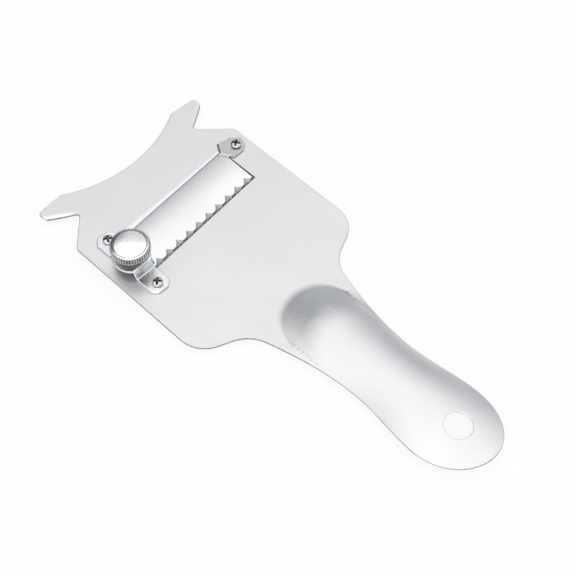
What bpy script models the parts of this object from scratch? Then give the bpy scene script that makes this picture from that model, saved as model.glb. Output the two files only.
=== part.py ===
# Truffle slicer: a stamped sheet body with an arched handle, an arched notched blade in its window,
# and a knurled screw on a bridge that lifts or lowers one end of the blade.
# X runs from the horns to the handle's end, Z is up out of the side that carries the knob.
# A station is a distance from the front of the horns along X. Lengths are metres.
import math

import bmesh
import bpy
from mathutils import Matrix, Vector
from mathutils.geometry import delaunay_2d_cdt, intersect_line_line_2d

# Sheet body
plate_length = 0.200
plate_half_width = 0.0431
plate_sheet = 0.0010
horn_gap_half_width = 0.0302
throat_depth = 0.0085
horn_front_setback = 0.0008
horn_half_span = 0.0426
horn_tip_width = 0.0042
horn_tip_radius = 0.0018
horn_root_radius = 0.0014
horn_curl_width = 0.0018
horn_curl_drop = 0.0006
notch_station = 0.0127
notch_half_width = 0.0309
shoulder_station = 0.0249
shoulder_radius = 0.0025
rear_corner_station = 0.0931
rear_corner_radius = 0.0130
neck_station = 0.1009
neck_half_width = 0.0246
neck_radius = 0.0145

# Handle
flank_station = 0.1070
flank_half_width = 0.0218
waist_station = 0.1475
waist_half_width = 0.0150
palm_station = 0.1775
palm_half_width = 0.01765
flank_curve_share = 1.83
arch_rise = 0.0056
arch_tip_fall = 0.0020
arch_fall_station = 0.1600
arch_start_station = 0.1014
arch_start_length = 0.0140
arch_start_half_width = 0.0156
arch_ramp_length = 0.0226
arch_straight_share = 0.6
hanging_hole_station = 0.1830
hanging_hole_radius = 0.0054

# Window for the blade: the stations of its corners, and its ends' distances from the sides
window_back_right_station = 0.0292
window_front_right_station = 0.0494
window_back_left_station = 0.0337
window_front_left_station = 0.0539
window_right_margin = 0.0122
window_left_margin = 0.0158
window_right_end = plate_half_width - window_right_margin
window_left_end = plate_half_width - window_left_margin
window_corner_radius = 0.0004
lip_right_width = 0.0006
lip_left_width = 0.0024
lip_fall_share = 0.35
lip_end_length = 0.0015
rear_slot_width = 0.0005
rear_slot_radius = 0.0001

# Blade
blade_sheet = 0.0007
blade_width = 0.0191
blade_edge_gap = 0.0008
blade_end_gap = 0.0004
blade_arch_rise = 0.00085
blade_back_depth = 0.0012
blade_edge_depth = 0.0019
bevel_width = 0.0007
edge_land = 0.00012
notch_pitch = 0.0057
notch_reach = 0.0029
notch_recess = 0.0004
notch_margin = 0.0022
notch_half_share = 0.46
notch_wall_share = 1.3
relief_width = 0.0006
joggle_length = 0.0015
joggle_inset = 0.0006
ear_screw_station = 0.0325
ear_screw_margin = 0.0063
ear_screw_side = plate_half_width - ear_screw_margin
ear_lift = 0.0003
ear_corner_radius = 0.0008
ear_foot_back = 0.0014
ear_foot_drop = 0.0074
ear_rear_back = 0.0058
ear_rear_drop = 0.0046
ear_rear_shoulder_back = 0.0049
ear_rear_shoulder_rise = 0.0008
ear_end_back = 0.0016
ear_end_rise = 0.0045
ear_end_ahead = 0.0021
ear_front_end_rise = 0.0031
ear_front_shoulder_ahead = 0.0037
ear_front_shoulder_rise = 0.0005
ear_front_ahead = 0.0038
ear_front_drop = 0.0049
ear_slot_offset = 0.0023
tongue_half_width = 0.0048
tongue_end_reach = 0.0044
tongue_corner = 0.0015

# Bridge and its place
bridge_station = 0.0458
bridge_margin = 0.0109
bridge_side = plate_half_width - bridge_margin
bridge_sheet = 0.0011
bridge_headroom = 0.0036
bridge_half_length = 0.0180
bridge_half_width = 0.0046
bridge_corner = 0.0021
bridge_lobe_radius = 0.0075
bridge_top_half_length = 0.0062
bridge_bend_run = 0.0015
bridge_bend_radius = 0.0008
bridge_screw_offset = 0.01425

# Knob and stud
knob_radius = 0.0079
knob_height = 0.0042
knob_raise = 0.0045
knob_chamfer = 0.0005
knob_groove_radius = 0.0067
knob_groove_width = 0.0004
knob_groove_depth = 0.0003
knob_socket_depth = 0.0028
rib_count = 46
rib_depth = 0.00035
stud_radius = 0.0020
thread_pitch = 0.0007
thread_depth = 0.00030
thread_steps = 20
thread_root_share = 0.15
thread_flank_share = 0.5
thread_crest_share = 0.65
adjust_turns = 1.25
neck_pin_radius = 0.0013
peen_radius = 0.0019
peen_height = 0.0005
washer_radius = 0.0030
washer_thickness = 0.0005
peen_hole_clearance = 0.0006

# Fasteners
screw_radius = 0.00125
screw_head_radius = 0.00215
screw_head_height = 0.0015
screw_tip_reach = 0.0005
recess_span = 0.0024
recess_width = 0.00055
recess_depth = 0.0009
recess_floor_share = 0.45
head_dome_shares = ((1, 0.45), (0.88, 0.75), (0.6, 0.95))
nut_across_flats = 0.0050
nut_height = 0.0020
nut_chamfer = 0.0003
nut_turn_degrees = 22.5

# Clearances
seat_gap = 0.0001
moving_gap = 0.00025
running_gap = 0.0001
bore_gap = 0.0002
thread_gap = 0.00005
overrun = 0.0020

# How finely the faces are divided
round_steps = 32
small_steps = 24
throat_steps = 12
flank_steps = 18
palm_steps = 10
lobe_steps = 10
rib_steps = 4
arc_step_degrees = 9.0
smooth_angle_degrees = 32.0
handle_rows = 20
handle_columns = 5
handle_column_spread = 5.6
foot_line_points = 7
foot_line_degrees = 80.0
curl_line_points = 4
merge_distance = 0.000001
probe_share = 0.1
line_inset = 0.0002
lip_line_shares = (0.3, 0.6, 1)
lip_line_points = 12
lip_line_inset = 0.0030
arch_line_shares = (0, 0.3, 0.6, 0.73, 0.86, 1)
curl_line_shares = (0.35, 0.7, 1)
curl_tip_share = 0.12
curl_root_share = 0.2
blade_line_shares = (0.14, 0.28, 0.42, 0.56, 0.7, 0.82)
joggle_line_shares = (0.25, 0.5, 0.75, 1)

# Colour and roughness of each finish. All of them are metal.
finishes = {
    "plate_steel": ((0.78, 0.79, 0.81), 0.35),
    "blade_steel": ((0.72, 0.73, 0.75), 0.28),
    "bridge_steel": ((0.70, 0.71, 0.74), 0.3),
    "knob_plating": ((0.80, 0.80, 0.82), 0.12),
    "stud_steel": ((0.55, 0.55, 0.57), 0.35),
    "washer_steel": ((0.62, 0.62, 0.64), 0.35),
    "screw_steel": ((0.60, 0.60, 0.62), 0.3),
    "nut_steel": ((0.62, 0.62, 0.64), 0.35),
}

# Heights, from the screws' tips up
nut_bottom = screw_tip_reach
plate_bottom = nut_bottom + nut_height + seat_gap
plate_top = plate_bottom + plate_sheet
foot_top = plate_top + seat_gap + bridge_sheet
bridge_underside = plate_top + seat_gap + bridge_headroom
bridge_top = bridge_underside + bridge_sheet
knob_travel = adjust_turns * thread_pitch
tongue_top = bridge_underside - knob_travel - moving_gap
tongue_bottom = tongue_top - blade_sheet
washer_top = tongue_bottom - running_gap
washer_bottom = washer_top - washer_thickness
peen_top = washer_bottom - running_gap
knob_bottom = bridge_top + knob_raise
knob_top = knob_bottom + knob_height
ear_bottom = plate_top + ear_lift
ear_top = ear_bottom + blade_sheet
ear_screw_seat = ear_top + ear_lift


def along(station):
    return station - plate_length / 2


def smooth_share(value):
    value = min(max(value, 0), 1)
    return value * value * (3 - 2 * value)


def mix(low, high, share):
    return low + (high - low) * share


def metal(name):
    colour, roughness = finishes[name]
    material = bpy.data.materials.new(name)
    material.use_nodes = True
    shader = material.node_tree.nodes["Principled BSDF"]
    shader.inputs["Base Color"].default_value = (*colour, 1)
    shader.inputs["Roughness"].default_value = roughness
    shader.inputs["Metallic"].default_value = 1
    return material


def add_object(name, mesh_data, material):
    mesh = bpy.data.meshes.new(name)
    bmesh.ops.recalc_face_normals(mesh_data, faces=mesh_data.faces)
    mesh_data.to_mesh(mesh)
    mesh_data.free()
    mesh.shade_smooth()
    mesh.set_sharp_from_angle(angle=math.radians(smooth_angle_degrees))
    part = bpy.data.objects.new(name, mesh)
    bpy.context.collection.objects.link(part)
    if material:
        mesh.materials.append(material)
    return part


def add_cutter(name, mesh_data):
    cutter = add_object(name, mesh_data, None)
    cutter.hide_render = True
    cutter.display_type = "WIRE"
    return cutter


def combine(part, other, operation, name):
    modifier = part.modifiers.new(name, "BOOLEAN")
    modifier.operation = operation
    modifier.solver = "EXACT"
    modifier.object = other


def turned(profile, steps, centre):
    # A solid turned about the vertical axis through centre. The profile is a closed loop of (radius, height).
    mesh_data = bmesh.new()
    rings = []
    for radius, height in profile:
        if radius == 0:
            rings.append([mesh_data.verts.new((centre[0], centre[1], height))])
            continue
        ring = []
        for step in range(steps):
            angle = 2 * math.pi * step / steps
            x = centre[0] + radius * math.cos(angle)
            y = centre[1] + radius * math.sin(angle)
            ring.append(mesh_data.verts.new((x, y, height)))
        rings.append(ring)
    closed = profile[0][0] > 0 and profile[-1][0] > 0
    pairs = list(zip(rings, rings[1:] + rings[:1] if closed else rings[1:]))
    for low, high in pairs:
        for step in range(steps):
            after = (step + 1) % steps
            if len(low) == 1:
                mesh_data.faces.new((low[0], high[after], high[step]))
            elif len(high) == 1:
                mesh_data.faces.new((low[step], low[after], high[0]))
            else:
                mesh_data.faces.new((low[step], low[after], high[after], high[step]))
    return mesh_data


def prism(outline, bottom, top):
    mesh_data = bmesh.new()
    low = [mesh_data.verts.new((x, y, bottom)) for x, y in outline]
    high = [mesh_data.verts.new((x, y, top)) for x, y in outline]
    mesh_data.faces.new(low)
    mesh_data.faces.new(high)
    count = len(outline)
    for i in range(count):
        after = (i + 1) % count
        mesh_data.faces.new((low[i], low[after], high[after], high[i]))
    return mesh_data


def circle(centre, radius, steps, start=0):
    points = []
    for step in range(steps):
        angle = start + 2 * math.pi * step / steps
        points.append((centre[0] + radius * math.cos(angle), centre[1] + radius * math.sin(angle)))
    return points


def rounded(corners):
    # Rounds each (x, y, radius) corner of a chain with an arc. The chain's two ends stay as they are.
    points = [corners[0][:2]]
    for before, corner, after in zip(corners, corners[1:], corners[2:]):
        tip = Vector(corner[:2])
        back = (Vector(before[:2]) - tip).normalized()
        ahead = (Vector(after[:2]) - tip).normalized()
        radius = corner[2]
        half = back.angle(ahead) / 2
        if radius == 0 or half < math.radians(1):
            points.append(tuple(tip))
            continue
        middle = tip + (back + ahead).normalized() * (radius / math.sin(half))
        start = tip + back * (radius / math.tan(half)) - middle
        turn = start.angle_signed(tip + ahead * (radius / math.tan(half)) - middle)
        steps = max(2, round(abs(math.degrees(turn)) / arc_step_degrees))
        for step in range(steps + 1):
            swung = start @ Matrix.Rotation(turn * step / steps, 2)
            points.append(tuple(middle + swung))
    points.append(corners[-1][:2])
    return points


def closed_rounded(corners):
    chain = rounded(corners[-1:] + corners + corners[:1])
    return chain[1:-1]


def inside(point, loop):
    hit = False
    x, y = point
    for (ax, ay), (bx, by) in zip(loop, loop[1:] + loop[:1]):
        if (ay > y) != (by > y) and x < ax + (y - ay) * (bx - ax) / (by - ay):
            hit = not hit
    return hit


def sheet(outline, holes, lines, spots, upper, lower):
    # A solid sheet over a flat outline. upper and lower turn a flat point into one on the two faces.
    flat = []
    edges = []
    for loop in [outline] + holes:
        first = len(flat)
        flat += [Vector(point) for point in loop]
        edges += [(first + i, first + (i + 1) % len(loop)) for i in range(len(loop))]
    for line in lines:
        first = len(flat)
        flat += [Vector(point) for point in line]
        edges += [(first + i, first + i + 1) for i in range(len(line) - 1)]
    flat += [Vector(point) for point in spots]
    placed, _, faces, *_ = delaunay_2d_cdt(flat, edges, [], 0, merge_distance)
    kept = []
    for face in faces:
        middle = sum((placed[i] for i in face), Vector((0, 0))) / len(face)
        if inside(middle, outline) and not any(inside(middle, hole) for hole in holes):
            kept.append(face)
    mesh_data = bmesh.new()
    used = sorted({i for face in kept for i in face})
    high = {i: mesh_data.verts.new(upper(placed[i])) for i in used}
    low = {i: mesh_data.verts.new(lower(placed[i])) for i in used}
    ends = set()
    for face in kept:
        mesh_data.faces.new([high[i] for i in face])
        mesh_data.faces.new([low[i] for i in reversed(face)])
        ends.update(zip(face, face[1:] + face[:1]))
    for a, b in ends:
        if (b, a) not in ends:
            mesh_data.faces.new((high[b], high[a], low[a], low[b]))
    bmesh.ops.dissolve_degenerate(mesh_data, dist=merge_distance, edges=mesh_data.edges)
    return mesh_data


def handle_half_width(station):
    if station < waist_station:
        share = (waist_station - station) / (waist_station - flank_station)
        return mix(waist_half_width, flank_half_width, max(share, 0) ** flank_curve_share)
    share = (station - waist_station) / (palm_station - waist_station)
    return mix(waist_half_width, palm_half_width, smooth_share(share))


def handle_edge():
    # The handle's edge at +Y, from the neck to the tip.
    points = []
    for step in range(flank_steps):
        station = mix(flank_station, palm_station, step / flank_steps)
        points.append((along(station), handle_half_width(station)))
    for step in range(palm_steps + 1):
        angle = math.pi / 2 * step / palm_steps
        reach = (plate_length - palm_station) * math.sin(angle)
        points.append((along(palm_station) + reach, palm_half_width * math.cos(angle)))
    return points


def throat_arc():
    # The concave edge between the horns, from the middle to the +Y horn.
    radius = (horn_gap_half_width**2 + throat_depth**2) / (2 * throat_depth)
    centre = throat_depth - radius
    widest = math.asin(horn_gap_half_width / radius)
    points = []
    for step in range(throat_steps + 1):
        angle = widest * step / throat_steps
        points.append((along(centre + radius * math.cos(angle)), radius * math.sin(angle)))
    return points


def horn_back_line():
    tip = (along(horn_front_setback + horn_tip_width), horn_half_span)
    root = (along(notch_station), notch_half_width)
    return Vector(tip), Vector(root)


def body_half_outline():
    throat = throat_arc()
    tip, root = horn_back_line()
    corners = [
        (*throat[-2], 0),
        (*throat[-1], horn_root_radius),
        (along(horn_front_setback), horn_half_span, horn_tip_radius),
        (*tip, horn_tip_radius),
        (*root, horn_root_radius),
        (along(shoulder_station), plate_half_width, shoulder_radius),
        (along(rear_corner_station), plate_half_width, rear_corner_radius),
        (along(neck_station), neck_half_width, neck_radius),
        (along(flank_station), flank_half_width, 0),
    ]
    return throat[:-2] + rounded(corners)[:-1] + handle_edge()


def mirrored_loop(half):
    back = [(x, -y) for x, y in reversed(half)]
    return half + back[1:-1]


def rear_slot_corners(rear_right, rear_left):
    # The slot beside the ear's rear side, from where it leaves the window's rear edge and back.
    place = ear_screw_place()
    foot = place - Vector((ear_foot_back, ear_foot_drop))
    end = place - Vector((ear_rear_back, ear_rear_drop))
    outward = (end - foot).normalized()
    aside = Vector((-outward.y, outward.x)) * rear_slot_width
    near = intersect_line_line_2d(foot, end, rear_right, rear_left)
    far = intersect_line_line_2d(foot + aside, end + aside, rear_right, rear_left)
    return [(*corner, rear_slot_radius) for corner in (near, end, end + aside, far)]


def window_outline():
    corners = [
        (along(window_back_left_station), -window_left_end),
        (along(window_front_left_station), -window_left_end),
        (along(window_front_right_station), window_right_end),
        (along(window_back_right_station), window_right_end),
    ]
    rounding = [(*corner, window_corner_radius) for corner in corners]
    slot = rear_slot_corners(corners[-1], corners[0])
    start = Vector(slot[-1][:2])
    end = Vector(corners[0])
    rear = [(*start.lerp(end, i / lip_line_points), 0) for i in range(1, lip_line_points)]
    return closed_rounded(rounding + slot + rear)


def arch_section(station):
    # Half the width over which the sheet is arched. It stays the same past the rounded end.
    return handle_half_width(min(station, palm_station))


def ramp_share(value):
    # Rises at one slope, then levels out evenly to its end.
    value = min(max(value, 0), 1)
    slope = 2 / (1 + arch_straight_share)
    if value < arch_straight_share:
        return slope * value
    return 1 - slope * (1 - value) ** 2 / (1 - arch_straight_share) / 2


def arch_height(x, y):
    station = x + plate_length / 2
    across = min(abs(y) / arch_start_half_width, 1)
    foot = arch_start_station + arch_start_length * (1 - math.sqrt(1 - across * across))
    ramp = ramp_share((station - foot) / arch_ramp_length)
    fall = smooth_share((station - arch_fall_station) / (plate_length - arch_fall_station))
    crown = arch_rise - arch_tip_fall * fall
    return crown * ramp * max(1 - (y / arch_section(station)) ** 2, 0)


def curl_drop(x, y):
    tip, root = horn_back_line()
    direction = (root - tip).normalized()
    offset = Vector((x, abs(y))) - tip
    run = offset.dot(direction)
    away = abs(offset.x * direction.y - offset.y * direction.x)
    length = (root - tip).length
    if away > horn_curl_width or run > length or x > root.x:
        return 0
    fade = smooth_share((length - run) / (length / 2))
    return horn_curl_drop * fade * (1 - away / horn_curl_width) ** 2


def lip_drop(x, y):
    # The window's rear edge is rolled down beside the blade, over a strip that widens to the left.
    share = (window_right_end - y) / (window_right_end + window_left_end)
    inside_share = min(max(share, 0), 1)
    edge = along(mix(window_back_right_station, window_back_left_station, inside_share))
    width = mix(lip_right_width, lip_left_width, inside_share)
    rolled = max(1 - abs(x - edge) / width, 0)
    from_end = min(window_right_end - y, y + window_left_end)
    return lip_fall_share * width * rolled**2 * smooth_share(from_end / lip_end_length)


def body_upper(point):
    x, y = point
    return Vector((x, y, plate_top + arch_height(x, y) - curl_drop(x, y) - lip_drop(x, y)))


def body_lower(point):
    # The sheet keeps its thickness where it slopes, so this face is offset square to the upper one.
    step = plate_sheet * probe_share
    x, y = point
    here = body_upper((x, y))
    ahead = body_upper((x + step, y)) - body_upper((x - step, y))
    across = body_upper((x, y + step)) - body_upper((x, y - step))
    normal = ahead.cross(across).normalized()
    return here - normal * plate_sheet


def handle_spots():
    # Points over the arched part of the handle, so that its faces follow the arch.
    spots = []
    first = arch_start_station + plate_sheet
    last = plate_length - plate_sheet
    for row in range(handle_rows):
        station = mix(first, last, row / (handle_rows - 1))
        reach = handle_half_width(station)
        if station > palm_station:
            share = (station - palm_station) / (plate_length - palm_station)
            reach = palm_half_width * math.sqrt(1 - share * share)
        for column in range(-handle_columns, handle_columns + 1):
            side = reach * column / handle_column_spread
            centre = Vector((along(station), side)) - Vector((along(hanging_hole_station), 0))
            if centre.length > hanging_hole_radius + plate_sheet:
                spots.append((along(station), side))
    return spots


def curl_lines():
    # Lines beside each horn's rear edge, so that the faces follow its turned-down edge.
    tip, root = horn_back_line()
    run = root - tip
    inward = Vector((run.y, -run.x)).normalized() * horn_curl_width
    lines = []
    for share in curl_line_shares:
        start = tip + inward * share + run * curl_tip_share
        end = root + inward * share - run * curl_root_share
        line = [tuple(start.lerp(end, i / curl_line_points)) for i in range(curl_line_points + 1)]
        lines.append(line)
        lines.append([(x, -y) for x, y in line])
    return lines


def arch_foot_lines():
    # Lines across the ramp on which the arch rises.
    lines = []
    for shift in arch_line_shares:
        line = []
        for i in range(-foot_line_points, foot_line_points + 1):
            angle = math.radians(foot_line_degrees) * i / foot_line_points
            back = arch_start_length * (1 - math.cos(angle))
            station = arch_start_station + back + arch_ramp_length * shift
            side = arch_start_half_width * math.sin(angle)
            if abs(side) < handle_half_width(station) - plate_sheet:
                line.append((along(station), side))
        lines.append(line)
    return lines


def bridge_centre():
    return Vector((along(bridge_station), -bridge_side))


def bridge_screw_places():
    centre = bridge_centre()
    step = Vector((bridge_screw_offset, 0))
    return {"rear": centre + step, "front": centre - step}


def ear_screw_place():
    return Vector((along(ear_screw_station), ear_screw_side))


def lip_lines():
    # Lines along the window's rolled rear edge.
    right = Vector((along(window_back_right_station), window_right_end))
    left = Vector((along(window_back_left_station), -window_left_end))
    lines = []
    for share in lip_line_shares:
        start = right - Vector((lip_right_width * share, lip_line_inset))
        end = left - Vector((lip_left_width * share, 0))
        lines.append([tuple(start.lerp(end, i / lip_line_points)) for i in range(lip_line_points + 1)])
    return lines


def make_body(material):
    clear = screw_radius + bore_gap
    holes = [window_outline()]
    holes.append(circle((along(hanging_hole_station), 0), hanging_hole_radius, round_steps))
    holes.append(circle(bridge_centre(), peen_radius + peen_hole_clearance, small_steps))
    for place in [*bridge_screw_places().values(), ear_screw_place()]:
        holes.append(circle(place, clear, small_steps))
    lines = arch_foot_lines() + curl_lines() + lip_lines()
    outline = mirrored_loop(body_half_outline())
    mesh_data = sheet(outline, holes, lines, handle_spots(), body_upper, body_lower)
    return add_object("body_plate", mesh_data, material)


def blade_back(y):
    return blade_edge(y) - blade_width


def blade_edge(y):
    # The cutting edge runs beside the window's front edge, so the strip lies askew with it.
    share = (window_right_end - y) / (window_right_end + window_left_end)
    return along(mix(window_front_right_station, window_front_left_station, share)) - blade_edge_gap


def blade_right():
    return window_right_end - blade_end_gap


def blade_left():
    return blade_end_gap - window_left_end


def strip_height(x, y):
    # The arched strip's upper face.
    share = (x - blade_back(y)) / (blade_edge(y) - blade_back(y))
    share = min(max(share, 0), 1)
    chord = mix(blade_back_depth, blade_edge_depth, share)
    return plate_top - chord + blade_arch_rise * 4 * share * (1 - share)


def joggle_share(x, y):
    # How far the sheet has risen towards the ear or the tongue, and the level of their upper faces.
    right = smooth_share((y - joggle_start()) / joggle_length)
    left = smooth_share((blade_left() + joggle_length - y) / joggle_length)
    behind_slot = x < ear_slot_start() + relief_width / 2
    past_end = y > blade_right() + blade_end_gap / 2
    if right > 0 and (behind_slot or past_end):
        return right, ear_top
    if left > 0 and abs(x - bridge_centre().x) < tongue_half_width + relief_width / 2:
        return left, tongue_top
    return 0, 0


def notch_places():
    first = blade_left() + notch_margin
    count = int((blade_right() - notch_margin - first) / notch_pitch) + 1
    spare = blade_right() - notch_margin - first - notch_pitch * (count - 1)
    return [first + spare / 2 + notch_pitch * i for i in range(count)]


def grind_depth(x, y):
    # How much of the sheet is ground away above the cutting edge: all along it, and deeper in at each notch.
    inset = blade_edge(y) - x
    bevel = 1 - inset / bevel_width
    aside = min(abs(y - place) for place in notch_places()) / (notch_pitch * notch_half_share)
    groove = 1 - inset / notch_reach - aside * (1 - bevel_width / notch_reach)
    depth = max(bevel, groove * notch_wall_share, 0)
    return (blade_sheet - edge_land) * min(depth, 1)


def blade_level(point):
    x, y = point
    share, level = joggle_share(x, y)
    return mix(strip_height(x, y), level, share)


def blade_upper(point):
    x, y = point
    return Vector((x, y, blade_level(point) - grind_depth(x, y)))


def blade_lower(point):
    x, y = point
    return Vector((x, y, blade_level(point) - blade_sheet))


def joggle_start():
    return blade_right() - joggle_inset - joggle_length


def ear_slot_start():
    return ear_screw_place().x + ear_slot_offset


def ear_corners():
    # The ear's corners from its foot on the joggle round its end to its front, measured from its screw.
    return [
        (-ear_foot_back, -ear_foot_drop),
        (-ear_rear_back, -ear_rear_drop),
        (-ear_rear_shoulder_back, ear_rear_shoulder_rise),
        (-ear_end_back, ear_end_rise),
        (ear_end_ahead, ear_front_end_rise),
        (ear_front_shoulder_ahead, ear_front_shoulder_rise),
        (ear_front_ahead, -ear_front_drop),
    ]


def ear_outline():
    # From the joggle's rear corner round the ear to where its front edge meets the relief slot.
    place = ear_screw_place()
    corners = [(place.x + x, place.y + y, ear_corner_radius) for x, y in ear_corners()]
    slot = ear_slot_start()
    share = (ear_front_ahead - ear_slot_offset) / (ear_front_ahead + ear_foot_back)
    meet = place.y - mix(ear_front_drop, ear_foot_drop, share)
    start = joggle_start()
    return rounded([(blade_back(start), start), *corners, (slot, meet)])


def blade_outline():
    right = blade_right()
    left = blade_left()
    start = joggle_start()
    centre = bridge_centre()
    slot = ear_slot_start()
    slot_end = slot + relief_width
    edge = [(slot, start + joggle_length * share) for share in reversed(joggle_line_shares)]
    edge += [(slot, start), (slot_end, start), (slot_end, right), (blade_edge(right), right)]
    half = notch_pitch * notch_half_share
    for place in reversed(notch_places()):
        edge.append((blade_edge(place + half), place + half))
        edge.append((blade_edge(place) - notch_recess, place))
        edge.append((blade_edge(place - half), place - half))
    edge.append((blade_edge(left), left))
    deep = left + joggle_length
    side = [(tongue_half_width + relief_width, left, 0), (tongue_half_width + relief_width, deep, 0)]
    side.append((tongue_half_width, deep, 0))
    side += [(tongue_half_width, deep - joggle_length * share, 0) for share in joggle_line_shares]
    side.append((tongue_half_width, centre.y - tongue_end_reach, tongue_corner))
    front = [(centre.x + x, y, radius) for x, y, radius in side]
    back = [(centre.x - x, y, radius) for x, y, radius in reversed(side)]
    tongue = rounded(front + back)
    return edge + tongue + [(blade_back(left), left)] + ear_outline()


def blade_lines():
    # Lines along the strip, across both joggles and round each notch, for the faces to follow.
    lines = []
    right = blade_right() - line_inset
    left = blade_left() + line_inset
    for share in blade_line_shares:
        start = (mix(blade_back(right), blade_edge(right), share), right)
        end = (mix(blade_back(left), blade_edge(left), share), left)
        lines.append([start, end])
    bevel_right = blade_edge(right) - bevel_width
    bevel_left = blade_edge(left) - bevel_width
    lines.append([(bevel_right, right), (bevel_left, left)])
    centre = bridge_centre().x
    reach = tongue_half_width - line_inset
    for share in joggle_line_shares:
        y = joggle_start() + joggle_length * share
        lines.append([(blade_back(y) + relief_width, y), (ear_slot_start() - line_inset, y)])
        y = left + joggle_length * (1 - share)
        lines.append([(centre - reach, y), (centre + reach, y)])
    half = notch_pitch * notch_half_share
    for place in notch_places():
        apex = (blade_edge(place) - notch_reach, place)
        for side in (-half, 0, half):
            lines.append([apex, (blade_edge(place + side) - bevel_width, place + side)])
    return lines


def make_blade(material):
    holes = [circle(bridge_centre(), neck_pin_radius + moving_gap, small_steps)]
    holes.append(circle(ear_screw_place(), screw_radius + moving_gap, small_steps))
    mesh_data = sheet(blade_outline(), holes, blade_lines(), [], blade_upper, blade_lower)
    return add_object("blade", mesh_data, material)


def bridge_side_profile():
    # The bent strap seen from the side, as (along, height) pairs round its section.
    half = bridge_half_length
    run = bridge_bend_run
    flat = bridge_top_half_length
    foot = plate_top + seat_gap
    sheet_step = bridge_sheet
    slope = math.hypot(run, bridge_headroom)
    shift = sheet_step * (slope - run) / bridge_headroom
    radius = bridge_bend_radius
    upper = [
        (-half, foot + sheet_step, 0),
        (-flat - run - shift, foot + sheet_step, radius),
        (-flat, bridge_top, radius),
        (flat, bridge_top, radius),
        (flat + run + shift, foot + sheet_step, radius),
        (half, foot + sheet_step, 0),
    ]
    lower = [
        (half, foot, 0),
        (flat + run, foot, radius),
        (flat - shift, bridge_underside, radius),
        (shift - flat, bridge_underside, radius),
        (-flat - run, foot, radius),
        (-half, foot, 0),
    ]
    return rounded(upper) + rounded(lower)


def bridge_plan():
    # The bridge seen from above: the strap with its clipped ends, and the round lobe under the knob.
    centre = bridge_centre()
    half = bridge_half_length
    side = bridge_half_width
    corner = bridge_corner
    radius = bridge_corner / 2
    meet = math.sqrt(bridge_lobe_radius**2 - side**2)
    start = math.asin(side / bridge_lobe_radius)
    lobe = []
    for step in range(lobe_steps + 1):
        angle = mix(start, math.pi - start, step / lobe_steps)
        lobe.append((bridge_lobe_radius * math.cos(angle), bridge_lobe_radius * math.sin(angle)))
    end = rounded(
        [
            (meet, -side),
            (half - corner, -side, radius),
            (half, corner - side, radius),
            (half, side - corner, radius),
            (half - corner, side, radius),
            (meet, side),
        ]
    )[1:-1]
    half_turn = end + lobe
    points = half_turn + [(-x, -y) for x, y in half_turn]
    return [(centre.x + x, centre.y + y) for x, y in points]


def make_bridge(material):
    centre = bridge_centre()
    reach = bridge_lobe_radius + overrun
    profile = bridge_side_profile()
    strap = bmesh.new()
    left = [strap.verts.new((centre.x + x, centre.y - reach, z)) for x, z in profile]
    right = [strap.verts.new((centre.x + x, centre.y + reach, z)) for x, z in profile]
    strap.faces.new(left)
    strap.faces.new(right)
    for i in range(len(profile)):
        after = (i + 1) % len(profile)
        strap.faces.new((left[i], left[after], right[after], right[i]))
    bridge = add_object("knob_bridge", strap, material)
    plan = add_cutter("bridge_plan_form", prism(bridge_plan(), plate_bottom, bridge_top + overrun))
    combine(bridge, plan, "INTERSECT", "plan")
    low = plate_bottom
    high = bridge_top + overrun
    bores = {"stud": (centre, stud_radius + thread_gap)}
    for name, place in bridge_screw_places().items():
        bores[name] = (place, screw_radius + bore_gap)
    for name, (place, radius) in bores.items():
        bore = prism(circle(place, radius, small_steps), low, high)
        combine(bridge, add_cutter(f"bridge_{name}_bore", bore), "DIFFERENCE", name)
    return bridge


def rib_ring(mesh_data, radius, depth, height):
    # One ring of the knob's edge, with a groove of this depth after each rib.
    centre = bridge_centre()
    steps = rib_count * rib_steps
    ring = []
    for step in range(steps):
        angle = 2 * math.pi * step / steps
        on_rib = step % rib_steps < rib_steps / 2
        reach = radius if on_rib else radius - depth
        x = centre.x + reach * math.cos(angle)
        y = centre.y + reach * math.sin(angle)
        ring.append(mesh_data.verts.new((x, y, height)))
    return ring


def make_knob(material):
    centre = bridge_centre()
    steps = rib_count * rib_steps
    mesh_data = bmesh.new()
    inner = knob_radius - knob_chamfer
    rings = [
        rib_ring(mesh_data, inner, 0, knob_bottom),
        rib_ring(mesh_data, knob_radius, rib_depth, knob_bottom + knob_chamfer),
        rib_ring(mesh_data, knob_radius, rib_depth, knob_top - knob_chamfer),
        rib_ring(mesh_data, inner, 0, knob_top),
    ]
    for low, high in zip(rings, rings[1:]):
        for step in range(steps):
            after = (step + 1) % steps
            mesh_data.faces.new((low[step], low[after], high[after], high[step]))
    mesh_data.faces.new(rings[0])
    mesh_data.faces.new(rings[-1])
    knob = add_object("thumb_knob", mesh_data, material)
    wide = knob_groove_radius + knob_groove_width
    floor = knob_top - knob_groove_depth
    lip = knob_top + overrun
    groove = [(knob_groove_radius, floor), (wide, floor), (wide, lip), (knob_groove_radius, lip)]
    cutter = add_cutter("knob_groove", turned(groove, round_steps * 2, centre))
    combine(knob, cutter, "DIFFERENCE", "groove")
    socket = circle(centre, stud_radius + thread_gap, small_steps)
    socket_top = knob_bottom + knob_socket_depth
    cutter = add_cutter("knob_socket", prism(socket, knob_bottom - overrun, socket_top))
    combine(knob, cutter, "DIFFERENCE", "socket")
    return knob


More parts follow.
